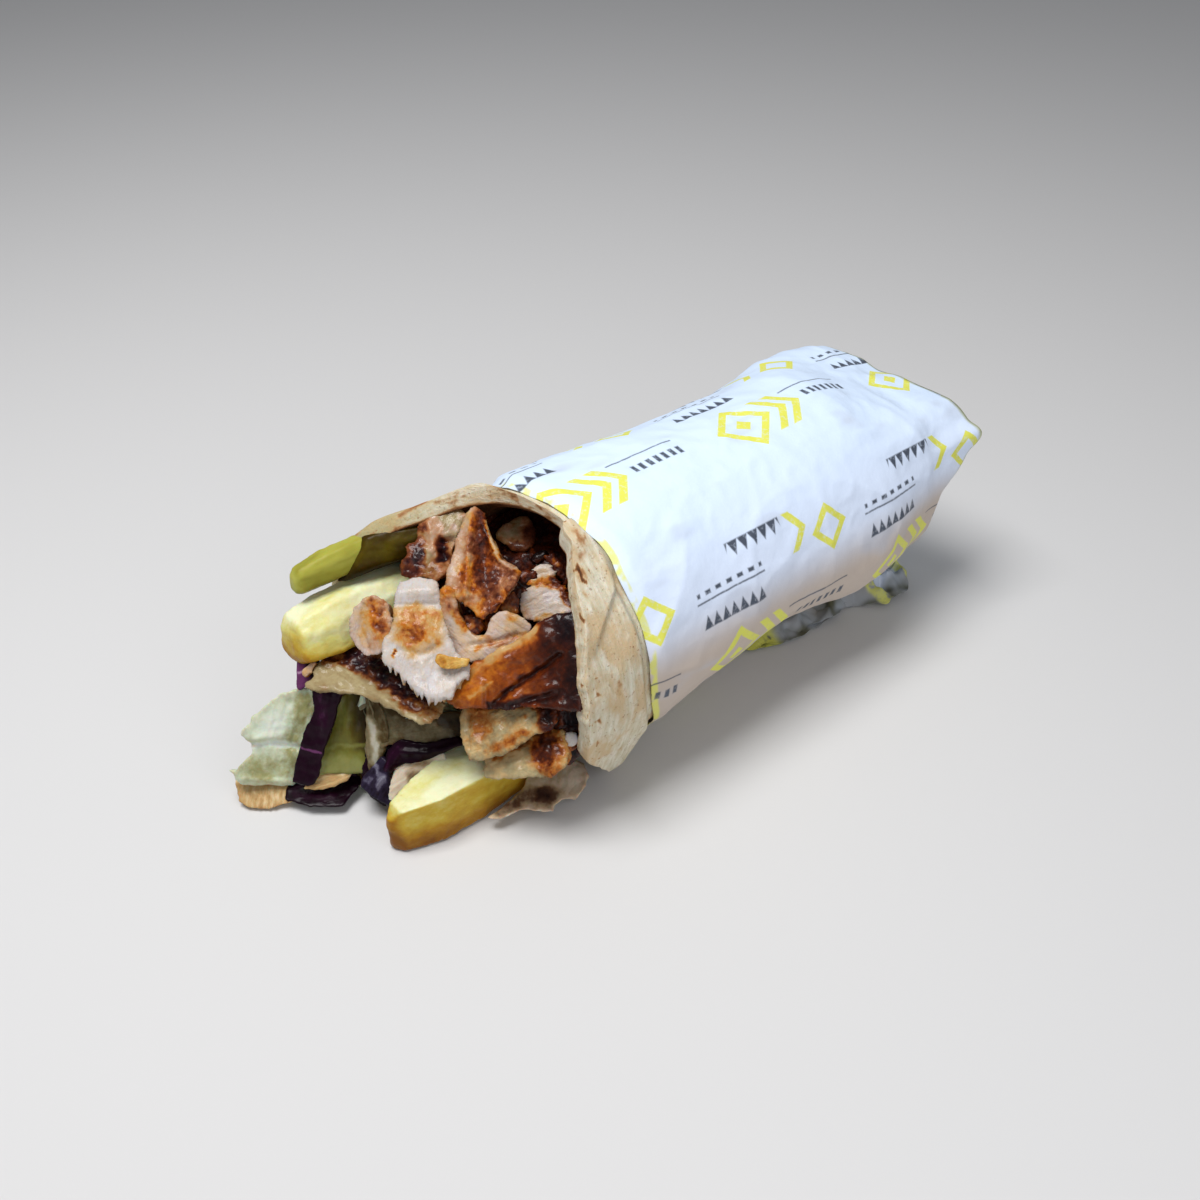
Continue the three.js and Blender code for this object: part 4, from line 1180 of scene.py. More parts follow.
            (-41.8, 6.4, 1.8, 1.4, 0, 0.76), ([(-34.6, 12.6), (-33.8, 9.4)], 1.1, 0.9),
            (-37, 6.0, 2.4, 1.2, 0, 0.5), (-33.8, 5.8, 1.6, 1.0, 0, 0.4),
        ],
        lines=[
            ([(-34.2, 12.6), (-32.4, 12.8)], 0.9, -1.8), ([(-34, 10), (-33, 8)], 1.2, -2.2),
            ([(-37.2, 17), (-36, 11)], 1.0, 0.7),
        ],
    ),
    "chicken_nub": dict(
        outline=[
            (-23.3, 14.6), (-21.3, 16.8), (-18.9, 18.4), (-16.7, 18.6), (-14.9, 16.2),
            (-14.8, 13.2), (-16.8, 11.2), (-19, 11), (-22, 13),
        ],
        face=(15.2, -0.06, -0.34), thick=6.5, smooth=14, base=0.36, side=0.56, fibre=10, lumps=0.2,
        crag=0.03, torn=0.03, dome=2.2, speckle=0.04,
        # Paler at the upper left, darker at the right and bottom: partly roast, partly painted
        # light and shade.
        marks=[
            (-15.6, 14.6, 1.4, 3.0, 20, 0.62), (-18.5, 11.8, 3.6, 1.2, 10, 0.58),
            (-20.2, 15.0, 1.8, 0.8, 20, 0.26), (-17.6, 16.8, 1.0, 0.6, 0, 0.2),
        ],
    ),
    "chicken_crust": dict(
        outline=[
            (-18.9, 3.8), (-17.2, 5.9), (-14.6, 7.0), (-13.4, 5.0), (-14.8, 2.6), (-16.2, 0.3),
            (-17.6, -2.8), (-19.2, -5.4), (-23.1, -6.8), (-26.4, -6.2), (-24, -2.4), (-20.6, 0.2),
        ],
        face=(20.6, -0.08, -0.16), thick=7, base=0.84, side=0.9, fibre=45, crag=0.45,
        marks=[
            (-24.6, -4.6, 2.6, 2.2, 0, 0.55), (-20.8, -3.4, 1.8, 1.6, 0, 0.62),
            (-16.4, 5.6, 1.6, 1.4, 0, 0.7),
        ],
    ),
    "chicken_curl": dict(
        outline=[
            (-33.7, 1.7), (-32.5, 2.7), (-31.2, 2.1), (-30.8, -0.4), (-30, -3), (-28.9, -4.9),
            (-27.8, -6.7), (-26.4, -7.8), (-24.5, -8), (-23.4, -6.4), (-23.0, -4.1), (-21.3, -2.6),
            (-18.8, -2.6), (-16.8, -3.6), (-14.4, -5.4), (-15.6, -9), (-18.6, -10.1),
            (-21.3, -10.9), (-23.6, -12.6), (-27, -13), (-29.7, -12.4), (-31.4, -9.7),
            (-32.7, -6.7), (-33.5, -4.2), (-34, -1.5),
        ],
        face=(28.4, 0, 0), thick=8, voxel=0.36, base=0.13, side=0.4, fibre=-35, lumps=0.3, dome=0.9,
        torn=0.07,
        marks=[
            (-32.5, 0.2, 1.6, 3.4, 0, 0.4), (-20.6, -4.8, 3.4, 1.6, -10, 0.16),
            (-18.6, -3.6, 1.2, 1.0, 0, 0.36), ([(-26, -10.2), (-20, -8.6), (-16, -7)], 0.6, 0.36),
            ([(-30.4, -2.4), (-28.6, -6)], 0.9, 0.5), (-24.2, -8.2, 1.4, 0.8, 0, 0.32),
            (-30.2, -11, 1.8, 1.2, 0, 0.12),
        ],
        lines=[
            ([(-27.5, -9.6), (-23, -9), (-17.5, -7.4)], 0.6, -0.6),
            ([(-32.6, 1.5), (-31.8, -4), (-29.6, -9)], 0.8, 0.6),
        ],
    ),
}


# Small pieces that stand for no node of their own: (name, outline, face, thickness, tone, marks).
BITS = [
    (
        "golden_flake",
        [
            (-33.8, -11.3), (-31.6, -11.5), (-29.0, -11.7), (-26.8, -12.3), (-27.4, -13.6),
            (-30.4, -14.2), (-32.8, -14.1), (-34.0, -13.2),
        ],
        (34.6, 0, 0), 2.2, 0.36, [(-33, -12.8, 1.0, 0.8, 0, 0.6), (-28.4, -13, 1.2, 0.6, 0, 0.2)],
    ),
    (
        "pocket_crumbs",
        [
            (-29.2, -3.4), (-27.2, -3.2), (-25.6, -3.8), (-24.6, -5.4), (-25.6, -7.4),
            (-27.6, -7.2), (-28.8, -5.6),
        ],
        (25.0, 0, 0), 4.0, 0.66, [(-25.6, -5.6, 1.0, 1.0, 0, 0.46), (-27.8, -5, 0.8, 0.9, 0, 0.5)],
    ),
    (
        "white_scrap",
        [
            (-7.2, -28.4), (-6.0, -27.9), (-4.9, -28.4), (-4.6, -29.8), (-5.4, -30.8),
            (-6.8, -30.6), (-7.5, -29.6),
        ],
        (28.4, 0, 0), 2.0, 0.02, [],
    ),
    (
        "orange_scrap",
        [(-8.6, -32.0), (-7.4, -31.4), (-6.4, -32.2), (-6.2, -34.2), (-7.2, -35.4), (-8.6, -34.6)],
        (24.5, 0, 0), 2.2, 0.48, [(-7, -33.6, 0.6, 0.8, 0, 0.3)],
    ),
    (
        "char_right",
        [
            (-11.4, -20.0), (-7.6, -19.6), (-3.9, -19.6), (-3.3, -24), (-3.5, -28.4), (-5.2, -31.8),
            (-7.4, -32.8), (-8.8, -29.4), (-10.6, -25.4),
        ],
        (26.6, 0, 0), 5.0, 0.84, [(-6.2, -31.4, 1.6, 1.4, 0, 0.54), (-8, -26, 0.8, 2.0, 20, 0.7)],
    ),
    (
        "pale_tip",
        [(-64.8, -15.5), (-62.8, -13.5), (-61.8, -13.7), (-62.6, -15.9), (-64.4, -17.1)],
        (20.4, 0, 0), 2.4, 0.2, [],
    ),
    (
        "thigh_scrap",
        [
            (-12.2, 9.6), (-10.4, 10.2), (-8.8, 8.6), (-7.6, 6.4), (-6.2, 3.6), (-7.2, 2.8),
            (-9.0, 5.0), (-10.8, 7.8),
        ],
        (20.4, 0, 0), 3.0, 0.8, [(-9.6, 8, 0.6, 1.0, 30, 0.5)],
    ),
    (
        "mid_scrap",
        [(-20.6, 0.6), (-18.4, 1.6), (-17.2, -0.4), (-17.8, -2.8), (-20.4, -3.2), (-22.2, -1.6)],
        (23.4, 0, 0), 3.0, 0.6, [(-19.6, -2.2, 1.2, 0.8, 0, 0.4)],
    ),
    (
        "left_scrap",
        [
            (-45.8, -10.4), (-44.2, -9.8), (-43.2, -11.4), (-43.4, -13.4), (-45.2, -13.8),
            (-46.4, -12.4),
        ],
        (27.4, 0, 0), 3.0, 0.24, [(-44.6, -13, 1.2, 0.8, 0, 0.5)],
    ),
]


# Each kind of cooked chicken: its colours, the colours in places, how uneven it is, the size of
# its specks, its relief, how much light goes through it and how wet it is.
MEATS = {
    "grilled_chicken": (ROAST, ROAST_PINK, 0.52, 1.1, (0.3, 0.3), 0.12, 0.22),
    "moist_chicken": (ROAST_GOLD, THIGH, 0.5, 1.1, (0.28, 0.28), 0.12, 0.24),
    "thigh_meat": (THIGH, None, 0.42, 1.1, (0.24, 0.24), 0.0, 0.26),
    "white_chicken": (ROAST, ROAST_WARM, 0.52, 1.1, (0.3, 0.3), 0.12, 0.22),
    "golden_chicken": (GOLDEN, None, 0.5, 1.1, (0.3, 0.3), 0.12, 0.22),
    "seared_chicken": (ROAST_PINK, THIGH, 0.46, 1.1, (0.25, 0.25), 0.12, 0.3),
    "glazed_chicken": (ROAST_GOLD, ROAST, 0.24, 1.3, (0.16, 0.14), 0.12, 0.3),
}
# The pieces that aren't plain grilled chicken.
KINDS = {
    "chicken_long": "thigh_meat",
    "chicken_lower": "moist_chicken",
    "chicken_base": "moist_chicken",
    "chicken_side": "moist_chicken",
    "chicken_front": "white_chicken",
    "golden_flake": "golden_chicken",
    "chicken_glazed": "glazed_chicken",
    "chicken_char": "seared_chicken",
    "chicken_nub": "seared_chicken",
}
PLATE = ("outline", "face", "thick", "voxel", "smooth")


def split(settings):
    """A piece's settings for slab(), and its other settings."""
    plate = {key: value for key, value in settings.items() if key in PLATE}
    return plate, {key: value for key, value in settings.items() if key not in PLATE}


def all_chicken():
    meats = {}
    for name, (stops, other, uneven, size, relief, through, coat) in MEATS.items():
        wet = dict(Coat_Weight=coat, **soft(through, 0.0015))
        material = food_material(name, stops, other, uneven, size, 0.12, (0.5, 0.3), relief, **wet)
        meats[name] = material

    def done(piece, name, replaced):
        finish(piece, meats[KINDS.get(name, "grilled_chicken")], replaced)

    for i, (node, settings) in enumerate(SLICES.items()):
        plate, settings = split(settings)
        done(chicken(slab(node + "_slice", **plate), seed=10 * i, **settings), node, [node])
    crumbly = dict(lumps=0.2, torn=0.08, crag=0.25, dome=0.4)
    for i, (name, outline, face, thick, base, marks) in enumerate(BITS):
        bit = slab(name, outline, face, thick, voxel=0.32, smooth=3)
        bit = chicken(bit, base, marks, fibre=20 + 40 * i, seed=400 + 20 * i, **crumbly)
        done(bit, name, [])
    side = carved("chicken_side", "chicken_side_slice", 0.5, 4)
    done(chicken(side, 0.85, [], seed=140), "chicken_side", ["chicken_side"])
    # The core is roasted dark, partly as painted shade of the hollow behind the slices.
    core = carved("chicken_filling", "chicken_core", 0.8, 3, 0.1)
    core = chicken(core, 0.8, [], lumps=0.9, torn=0.1, crag=0.6, seed=200)
    kept_inside(core)
    done(core, "chicken_filling", ["chicken_filling"])
    for i, (tone, count) in enumerate(((0.66, 12), (0.78, 60))):
        name = f"chicken_scraps_{i + 1}"
        scraps = strewn(name, core, count, (3.5, 9), (1.6, 3.2), 1.3, 0.1, tone, 500 + i)
        done(scraps, name, ["chicken_filling"])


# ---------- fries and pickles ----------
# Each bar of potato or pickle: its cuts across, as (y, left, right, low, high, lean) in the roll's
# frame, where the top of a cut lies lean mm further back than its foot.
BARS = {
    "fry_1": [
        (-66.2, -30.5, -24, 31.6, 38.6, 0.4), (-65, -31.6, -20.4, 30.4, 41.6, 0.8),
        (-57, -31.4, -18, 30, 43.8, 0), (-45, -31, -17.8, 31, 44, 0),
        (-32, -29.5, -18.2, 32.5, 44, 0), (-18, -26.5, -18.5, 33.5, 42.5, 0),
    ],
    "fry_2": [
        (-66.2, 7.6, 9.2, 0.3, 9, 0), (-64.2, 6.7, 11.4, 0.3, 12.4, 0),
        (-56, 4.6, 14.2, 0.3, 13.2, 0), (-45, 1.9, 14.5, 0.4, 13.4, 0),
        (-34, 1.5, 13.5, 1.1, 14, 0), (-22, 1, 11, 4, 13, 0),
    ],
    "pickle_1": [
        (-60.9, -32.4, -29.2, 44.6, 48.4, 0), (-59.6, -33, -27.6, 44.2, 50.6, 0),
        (-53, -32.8, -26.4, 44.5, 52.2, 0), (-45, -31.6, -25.6, 45, 53, 0),
        (-36, -28, -23, 46, 52.8, 0),
    ],
    "pickle_2": [
        (-52.2, -28.6, -26.6, 45, 53.4, 8.2), (-51, -29, -25.2, 44.9, 53.6, 7.4),
        (-44, -29.6, -23, 45.4, 54.2, 3.5), (-38, -28, -20.6, 46.4, 54.4, 1),
        (-31, -24.4, -18.4, 47, 54.6, 0),
    ],
}
SQUARE = [(0, 0), (1, 0), (1, 1), (0, 1)]
WORN = [(0.05, 0.1), (0.62, 0), (1, 0.3), (0.86, 0.8), (0.6, 1), (0.08, 0.95)]


def bar(node, name, section, seed, lumps, smooth):
    """A bar whose cut across is the section, squeezed into each cut's width and height."""
    cuts = BARS[node]
    points = [
        (left + u * (right - left), y + v * lean, low + v * (high - low))
        for y, left, right, low, high, lean in cuts
        for u, v in section
    ]
    sides = len(section)
    caps = [tuple(range(sides)), tuple(len(points) - 1 - i for i in range(sides))]
    piece = fine(build(name, points, caps + grid_faces(len(cuts), sides)), 0.42, smooth)
    points, normal = points_of(piece)
    d = lumps * (noise(points * [1, 0.4, 1], 6.0, seed) + 0.4 * noise(points, 1.8, seed + 1))
    d += 0.05 * noise(points, 0.8, seed + 2)
    points = points + normal * d[:, None]
    points[:, 2] = np.maximum(points[:, 2], 0.1)
    move_to(piece, points)
    return piece, points, normal


def fry(node, name, section, seed, golden):
    """A fried bar, deeper gold at its end and low on its sides, by the amounts (end, side, low
    part):
    partly its fried colour, partly painted shade, with its pale top as painted light.
    """
    piece, points, normal = bar(node, name, section, seed, 0.42, 8 if section is SQUARE else 14)
    low, high = points.min(0), points.max(0)
    end = 1 - rise(points[:, 1], low[1] + 0.3, low[1] + 3.0)
    tall = high[2] - low[2]
    beneath = 1 - rise(points[:, 2], low[2] + 0.05 * tall, low[2] + 0.65 * tall)
    # Sides and low part are painted deeper gold, partly as shade; the top stays pale as painted
    # light.
    flank = 1 - rise(normal[:, 2], 0.1, 0.75)
    level = golden[0] * end + flank * (golden[1] + golden[2] * beneath)
    paint(piece.data, "golden", np.clip(level, 0, 1))
    return piece


GOLD = [
    (0.0, (228, 230, 190)), (0.25, (214, 208, 124)), (0.5, (196, 166, 56)), (0.75, (170, 122, 22)),
    (1.0, (130, 80, 12)),
]


def fry_material():
    coat = dict(Coat_Weight=0.15, Coat_Roughness=0.25)
    s = Shader("fried_potato", IOR=1.42, Specular_IOR_Level=0.15, **soft(0.25, 0.003), **coat)
    # This gold is partly fried colour and partly painted shade on the sides and underside.
    golden = s.attribute("golden")
    spread = s.minus(s.noise(6.0, 5.0, 0.65, stretch=(1, 0.5, 1)), 0.44)
    level = s.plus(golden, s.times(spread, 0.95), clamp=True)
    colour = s.ramp(level, GOLD)
    brown = s.span(s.noise(1.6, 3.0, 0.6), 0.7, 0.8)
    colour = s.mix(s.times(brown, 0.6), colour, (150, 90, 24))
    s.set("Base Color", colour)
    s.set("Roughness", s.span(s.noise(2.0), 0.3, 0.7, 0.32, 0.55))
    s.bump(s.noise(0.9, 4.0, 0.6), 0.12)
    return s.material


def pickle(node, name, seed):
    piece, points, _ = bar(node, name, WORN, seed, 0.2, 5)
    # Each pickle is painted darker towards its bottom edge, as shade.
    foot = 1 - rise(points[:, 2] - 0.25 * (points[:, 1] + 50), 44.5, 50)
    paint(piece.data, "foot", foot)
    return piece


def pickle_material(name, colours):
    coat = dict(Coat_Weight=0.06, Coat_Roughness=0.3)
    s = Shader(name, IOR=1.4, Specular_IOR_Level=0.12, Roughness=0.38, **soft(0.2, 0.003), **coat)
    streak = s.noise(6.0, 3.0, 0.5, stretch=(1, 0.2, 1))
    # The pickle's low part is darkened here as painted shade.
    level = s.minus(streak, s.times(s.attribute("foot"), 0.22))
    s.set("Base Color", s.ramp(level, [(0.24, colours[0]), (0.45, colours[1]), (0.66, colours[2])]))
    s.bump(s.noise(1.6, 3.0), 0.1)
    return s.material


def bars():
    material = fry_material()
    finish(fry("fry_1", "fry_upper", WORN, 31, (0.18, 0.14, 0.5)), material, ["fry_1"])
    finish(fry("fry_2", "fry_lower", SQUARE, 37, (0.3, 0.42, 0.42)), material, ["fry_2"])
    light_green = pickle_material("pickle_flesh", [(104, 96, 24), (158, 156, 62), (180, 180, 88)])
    # The olive pickle is dark partly as skin, partly as painted shade beside the pale one.
    olive = pickle_material("pickle_skin", [(36, 26, 1), (58, 43, 1), (90, 78, 8)])
    finish(pickle("pickle_1", "pickle_pale", 41), light_green, ["pickle_1"])
    finish(pickle("pickle_2", "pickle_olive", 43), olive, ["pickle_2"])


# ---------- salad ----------
def leaf(
    piece, base, marks, lines=(), wave=0.5, ribs=0.0, pitch=1.3, grow=90, ragged=0.7, seed=0
):
    """Shapes a leaf or shred. Its veins run at the angle grow in the pile's frame. Ribs is the
    depth of the ridges across them, pitch mm apart."""
    q, out, grain = in_pile(piece, grow)
    tone = tones(q, base, marks, seed, ragged)
    lift = wave * noise(q * [1, 1, 0], 6.0, seed) + 0.5 * wave * noise(q * [1, 1, 0], 2.8, seed + 1)
    across = grain[:, 0] + 0.35 * noise(grain * [1, 1, 0], 4.0, seed + 2)
    uneven = 0.6 + 0.4 * noise(grain * [1, 0.1, 0], 2.0, seed + 3)
    lift += ribs * np.cos(2 * np.pi * across / pitch) * uneven
    q[:, 2] += lift + folds(q, out, lines)
    q[:, :2] += 0.25 * drift(q, 1.6, (seed + 4, seed + 5))
    return settled(piece, q, tone, grain)


PALE_GREEN = [
    (0.0, (230, 236, 228)), (0.3, (196, 204, 176)), (0.55, (156, 154, 108)), (0.8, (120, 124, 62)),
    (1.0, (84, 74, 26)),
]
OLIVE = [(0.0, (150, 152, 96)), (0.4, (112, 110, 46)), (0.7, (84, 74, 22)), (1.0, (52, 38, 10))]
MILKY = [(0.0, (214, 212, 200)), (0.35, (146, 136, 106)), (0.65, (82, 66, 36)), (1.0, (36, 27, 14))]
RUFFLED = [
    (0.0, (226, 212, 192)), (0.35, (176, 154, 124)), (0.65, (98, 70, 52)), (1.0, (42, 24, 24)),
]
PURPLE = [(0.0, (196, 160, 188)), (0.3, (106, 56, 98)), (0.6, (38, 9, 30)), (1.0, (12, 2, 7))]
FROSTED = [(0.0, (152, 152, 164)), (0.35, (90, 86, 104)), (0.65, (44, 36, 56)), (1.0, (20, 12, 26))]
TAN = [(0.0, (226, 210, 174)), (0.4, (186, 154, 105)), (0.7, (142, 106, 62)), (1.0, (84, 58, 32))]

# Each leaf: the node it stands for if any, its kind, its outline, front and thickness in the
# pile's frame, its tone and its marks.
LEAVES = {
    "lettuce_outer": dict(
        node="lettuce_leaf", kind="pale_green",
        outline=[
            (-66.5, -19.5), (-70.2, -20.6), (-72.9, -22.6), (-76.7, -25.9), (-77, -27.1),
            (-79, -28.6), (-79.4, -30), (-77.4, -31.9), (-77.4, -34.2), (-80.2, -36.9),
            (-81.1, -38), (-83, -37.7), (-81.6, -38.9), (-81.1, -40.1), (-80, -41.4), (-69, -41.8),
            (-66.3, -38.1), (-64.9, -33), (-63.9, -28.9), (-62.2, -24.3), (-62.0, -22.1),
            (-62.8, -19.4),
        ],
        face=(12.8, -0.17, 0.33), thick=2.0, base=0.3, wave=0.7, ribs=0.06, pitch=1.6, grow=70,
        marks=[
            ([(-65.4, -22), (-68, -29), (-69, -36)], 2.0, 0.55), (-72, -27, 4, 3, 40, 0.12),
            (-74, -37.8, 6, 2.6, 0, 0.52), ([(-77.4, -32.4), (-72, -31.6), (-68, -32.4)], 0.8, 0.1),
        ],
        lines=[
            ([(-77.6, -32.2), (-72, -31.8), (-67.5, -33)], 0.8, -0.9),
            ([(-76, -30.6), (-70, -30)], 1.0, 0.5), ([(-80, -39.8), (-70, -40.6)], 0.7, 0.5),
        ],
    ),
    "lettuce_foot": dict(
        kind="tan",
        outline=[
            (-82.6, -40.0), (-82.2, -42.2), (-81.2, -44.3), (-81.3, -45.1), (-79.8, -46),
            (-78.4, -46.6), (-73.9, -46.8), (-71.8, -46), (-69, -45.3), (-69, -40.4),
        ],
        face=(-11.2, 0, -0.5), thick=3.0, base=0.4, wave=0.3, ribs=0.24, pitch=1.15, grow=94,
        marks=[([(-82, -41), (-71, -41)], 0.5, 0.15)],
    ),
    "lettuce_inner": dict(
        node="inner_leaf", kind="olive",
        outline=[
            (-57.6, -21.1), (-55, -20.2), (-50, -21.4), (-49, -24.3), (-49.8, -29.9),
            (-50.2, -35.6), (-51.2, -38.3), (-55.7, -39), (-59, -38.7), (-64.3, -39.2),
            (-64.9, -35.5), (-63.7, -31.9), (-62.3, -29.9), (-61.5, -22),
        ],
        face=(18.1, -0.06, 0.21), thick=2.0, voxel=0.36, base=0.55, wave=0.6, ribs=0.08, pitch=2.2,
        grow=80,
        marks=[
            (-52.0, -27, 2.6, 8.0, 4, 0.95), (-58, -24, 2.6, 3, 0, 0.4),
            ([(-61, -37), (-54, -36.6)], 2.4, 0.2), ([(-60.8, -33), (-51, -32.2)], 0.5, 0.36),
        ],
    ),
    "cabbage_blade": dict(
        node="cabbage_1", kind="purple",
        outline=[
            (-62.7, -18.9), (-55.4, -19.5), (-56.9, -22.6), (-57.8, -26.2), (-59.4, -30.2),
            (-60.6, -32.5), (-61.5, -35.7), (-62.2, -38.7), (-63.7, -41.1), (-65.1, -41.5),
            (-68.5, -40.5), (-67.8, -37.7), (-66.8, -33.8), (-65.8, -31.2), (-64.4, -27.8),
            (-62.9, -25.5), (-62.3, -23.8), (-62.6, -21.8),
        ],
        face=(34.6, 0.13, 0.29), thick=1.6, base=0.8, wave=0.25, grow=72, ragged=0.3,
        marks=[
            ([(-61.0, -20), (-60.4, -27)], 1.2, 0.62),
            ([(-66.2, -32.6), (-61.6, -33.6)], 0.35, 0.34),
        ],
        lines=[([(-58.4, -21), (-60.4, -29)], 0.9, 0.5)],
    ),
    "cabbage_floor": dict(
        node="cabbage_2", kind="purple",
        outline=[
            (-70.5, -40.9), (-66, -41.9), (-62.2, -41.9), (-58.7, -40.9), (-54.6, -38.7),
            (-54, -40.9), (-54.4, -42.3), (-56.1, -44.1), (-57.3, -46), (-64.9, -46),
            (-70.1, -44.9), (-70.7, -44.1),
        ],
        face=(-28.0, 0.02, -0.94), thick=1.8, base=0.9, wave=0.25, grow=10, ragged=0.3,
        marks=[([(-68, -43.5), (-60, -44)], 0.8, 0.75)],
    ),
    "cabbage_shoot": dict(
        node="cabbage_3", kind="purple",
        outline=[
            (-66.4, -12.4), (-62.2, -12.6), (-60.6, -14.8), (-61.4, -18.2), (-64.2, -18.9),
            (-65.8, -19.9), (-66.6, -19.3), (-66.6, -16.4),
        ],
        face=(18.2, 0, 0), thick=2.0, voxel=0.32, base=0.36, wave=0.15, grow=80, ragged=0.3,
        marks=[
            ([(-66.2, -16), (-64.4, -15.6)], 0.3, 0.12),
            ([(-62.8, -13.6), (-61.6, -17.6)], 1.4, 0.85),
        ],
    ),
    "shred_milky": dict(
        node="shred_1", kind="milky",
        outline=[
            (-51.2, -21), (-48.8, -21.4), (-47, -25.3), (-46.3, -29.6), (-47.4, -33.4),
            (-49.6, -37.6), (-51.2, -38.4), (-52, -32.9), (-51.4, -27.5),
        ],
        face=(30.0, 0.09, 0.28), thick=1.6, base=0.54, wave=0.4, grow=88,
        marks=[
            ([(-50.2, -26), (-49.6, -31), (-49.8, -36)], 0.9, 0.16), (-49, -24, 2, 2.6, 0, 0.7),
            (-47.4, -30, 1.0, 4, 0, 0.66),
        ],
    ),
    "leaf_behind": dict(
        node="pale_leaf", kind="milky",
        outline=[
            (-51.5, -21.4), (-48.6, -21.3), (-44.1, -23.4), (-39.6, -25), (-35.2, -24.6),
            (-29.8, -24.1), (-29.6, -30), (-33.4, -32), (-39.5, -32.6), (-44, -32.4),
            (-46.2, -31.8), (-48.4, -33),
        ],
        face=(16.2, 0.05, -0.1), thick=2.0, voxel=0.38, base=0.58, wave=0.6, grow=10,
        marks=[
            ([(-47, -27), (-40, -29.4), (-34, -29)], 1.6, 0.48),
            ([(-34, -26), (-30.5, -28)], 1.8, 0.9), (-43, -24.6, 3, 1.2, 0, 0.8),
        ],
    ),
    "leaf_under": dict(
        node="under_leaf", kind="ruffled",
        outline=[
            (-25, -47.7), (-23.3, -47), (-18.9, -43.7), (-17, -41.8), (-16.4, -39.6),
            (-12.4, -38.2), (-9.1, -36.6), (-6.8, -35.9), (-3.9, -37.4), (-2.5, -39.9),
            (-3.2, -41.9), (-4.7, -43.8), (-5.6, -44.6), (-8, -44.4), (-10, -45.5), (-10.4, -46.9),
            (-12.4, -46.8), (-15.2, -46.4), (-17.6, -46.3), (-19.8, -47.4), (-21.9, -48.2),
        ],
        face=(-24.4, -0.15, -0.82), thick=2.0, voxel=0.36, base=0.26, wave=0.6, ribs=0.1, pitch=1.8,
        grow=75,
        marks=[
            (-13.2, -43.4, 3.4, 1.6, 0, 0.9), (-6, -40, 2, 3, 0, 0.1),
            ([(-22, -46.5), (-15, -43)], 1.2, 0.6), ([(-20, -47.6), (-11, -46.4)], 0.5, 0.12),
        ],
    ),
    "cabbage_arc": dict(
        node="cabbage_5", kind="purple",
        outline=[
            (-47.9, -37.3), (-47, -33.7), (-45.4, -31.4), (-43.3, -30.5), (-40.9, -31.2),
            (-37.5, -31.3), (-34.2, -30.4), (-30.8, -29.9), (-29.4, -31.6), (-31.7, -32.2),
            (-34.2, -33.5), (-37.6, -35.1), (-40.9, -35.8), (-43.9, -36.3), (-46.1, -38.2),
            (-47.1, -40.9), (-48, -41.3),
        ],
        face=(25.2, 0.1, 0.1), thick=2.2, base=0.88, wave=0.5, grow=0, ragged=0.4,
        marks=[
            (-44.6, -33.4, 1.6, 1.6, 0, 0.66),
            ([(-47.2, -38), (-46.2, -34.4), (-44.4, -32.2)], 0.4, 0.6),
        ],
        lines=[([(-46.6, -37), (-44, -33.4), (-38, -33.6), (-31, -31.6)], 0.9, 0.7)],
    ),
    "cabbage_frosted": dict(
        kind="frosted",
        outline=[
            (-52.9, -39.8), (-51.7, -38), (-50, -36.5), (-48.2, -34.2), (-46.6, -35.6),
            (-46.2, -39.9), (-45.4, -43.9), (-46.2, -45.6), (-49.6, -43.8), (-51.8, -42.0),
            (-52.9, -41.1),
        ],
        face=(18.6, 0, 0.05), thick=2.0, base=0.8, wave=0.5, grow=60, ribs=0.1, pitch=1.8,
        ragged=1.0,
        marks=[
            ([(-49.6, -36.8), (-48.4, -38.8), (-48.8, -41.4)], 0.7, 0.3),
            (-51.2, -39.6, 1.0, 0.8, 0, 0.4), (-46.4, -38.4, 1.0, 3.0, 0, 0.95),
            (-46.8, -42.4, 1.0, 1.6, 0, 0.95),
        ],
    ),
    "cream_strip": dict(
        node="shred_2", kind="ruffled",
        outline=[
            (-46.9, -43.2), (-46.4, -40.3), (-45, -36.6), (-42, -34.8), (-38, -33.7),
            (-34.4, -33.6), (-33.6, -35), (-36.6, -36.6), (-39.6, -37.9), (-42, -40),
            (-43.9, -42.5), (-45.2, -44.4), (-46.3, -44.6),
        ],
        face=(20.6, 0.05, 0.05), thick=2.0, base=0.07, wave=0.5, grow=40, ribs=0.08,
        marks=[
            (-39.6, -35.9, 3.0, 1.0, 10, 0.4), (-45.4, -42, 0.9, 2.0, 0, 0.06),
            (-41.4, -38.6, 1.2, 1.2, 0, 0.5),
        ],
    ),
    "tan_bit": dict(
        kind="tan",
        outline=[
            (-66.2, -42.2), (-64, -38.6), (-60.3, -37.3), (-56.9, -36.9), (-54.6, -37.6),
            (-56.4, -40.4), (-59.1, -41.6), (-62, -42.4),
        ],
        face=(9.2, 0, -0.1), thick=1.6, base=0.4, wave=0.3, grow=20, ribs=0.08, pitch=1.0,
        marks=[(-57.6, -38.4, 1.4, 0.8, 0, 0.02)],
    ),
}


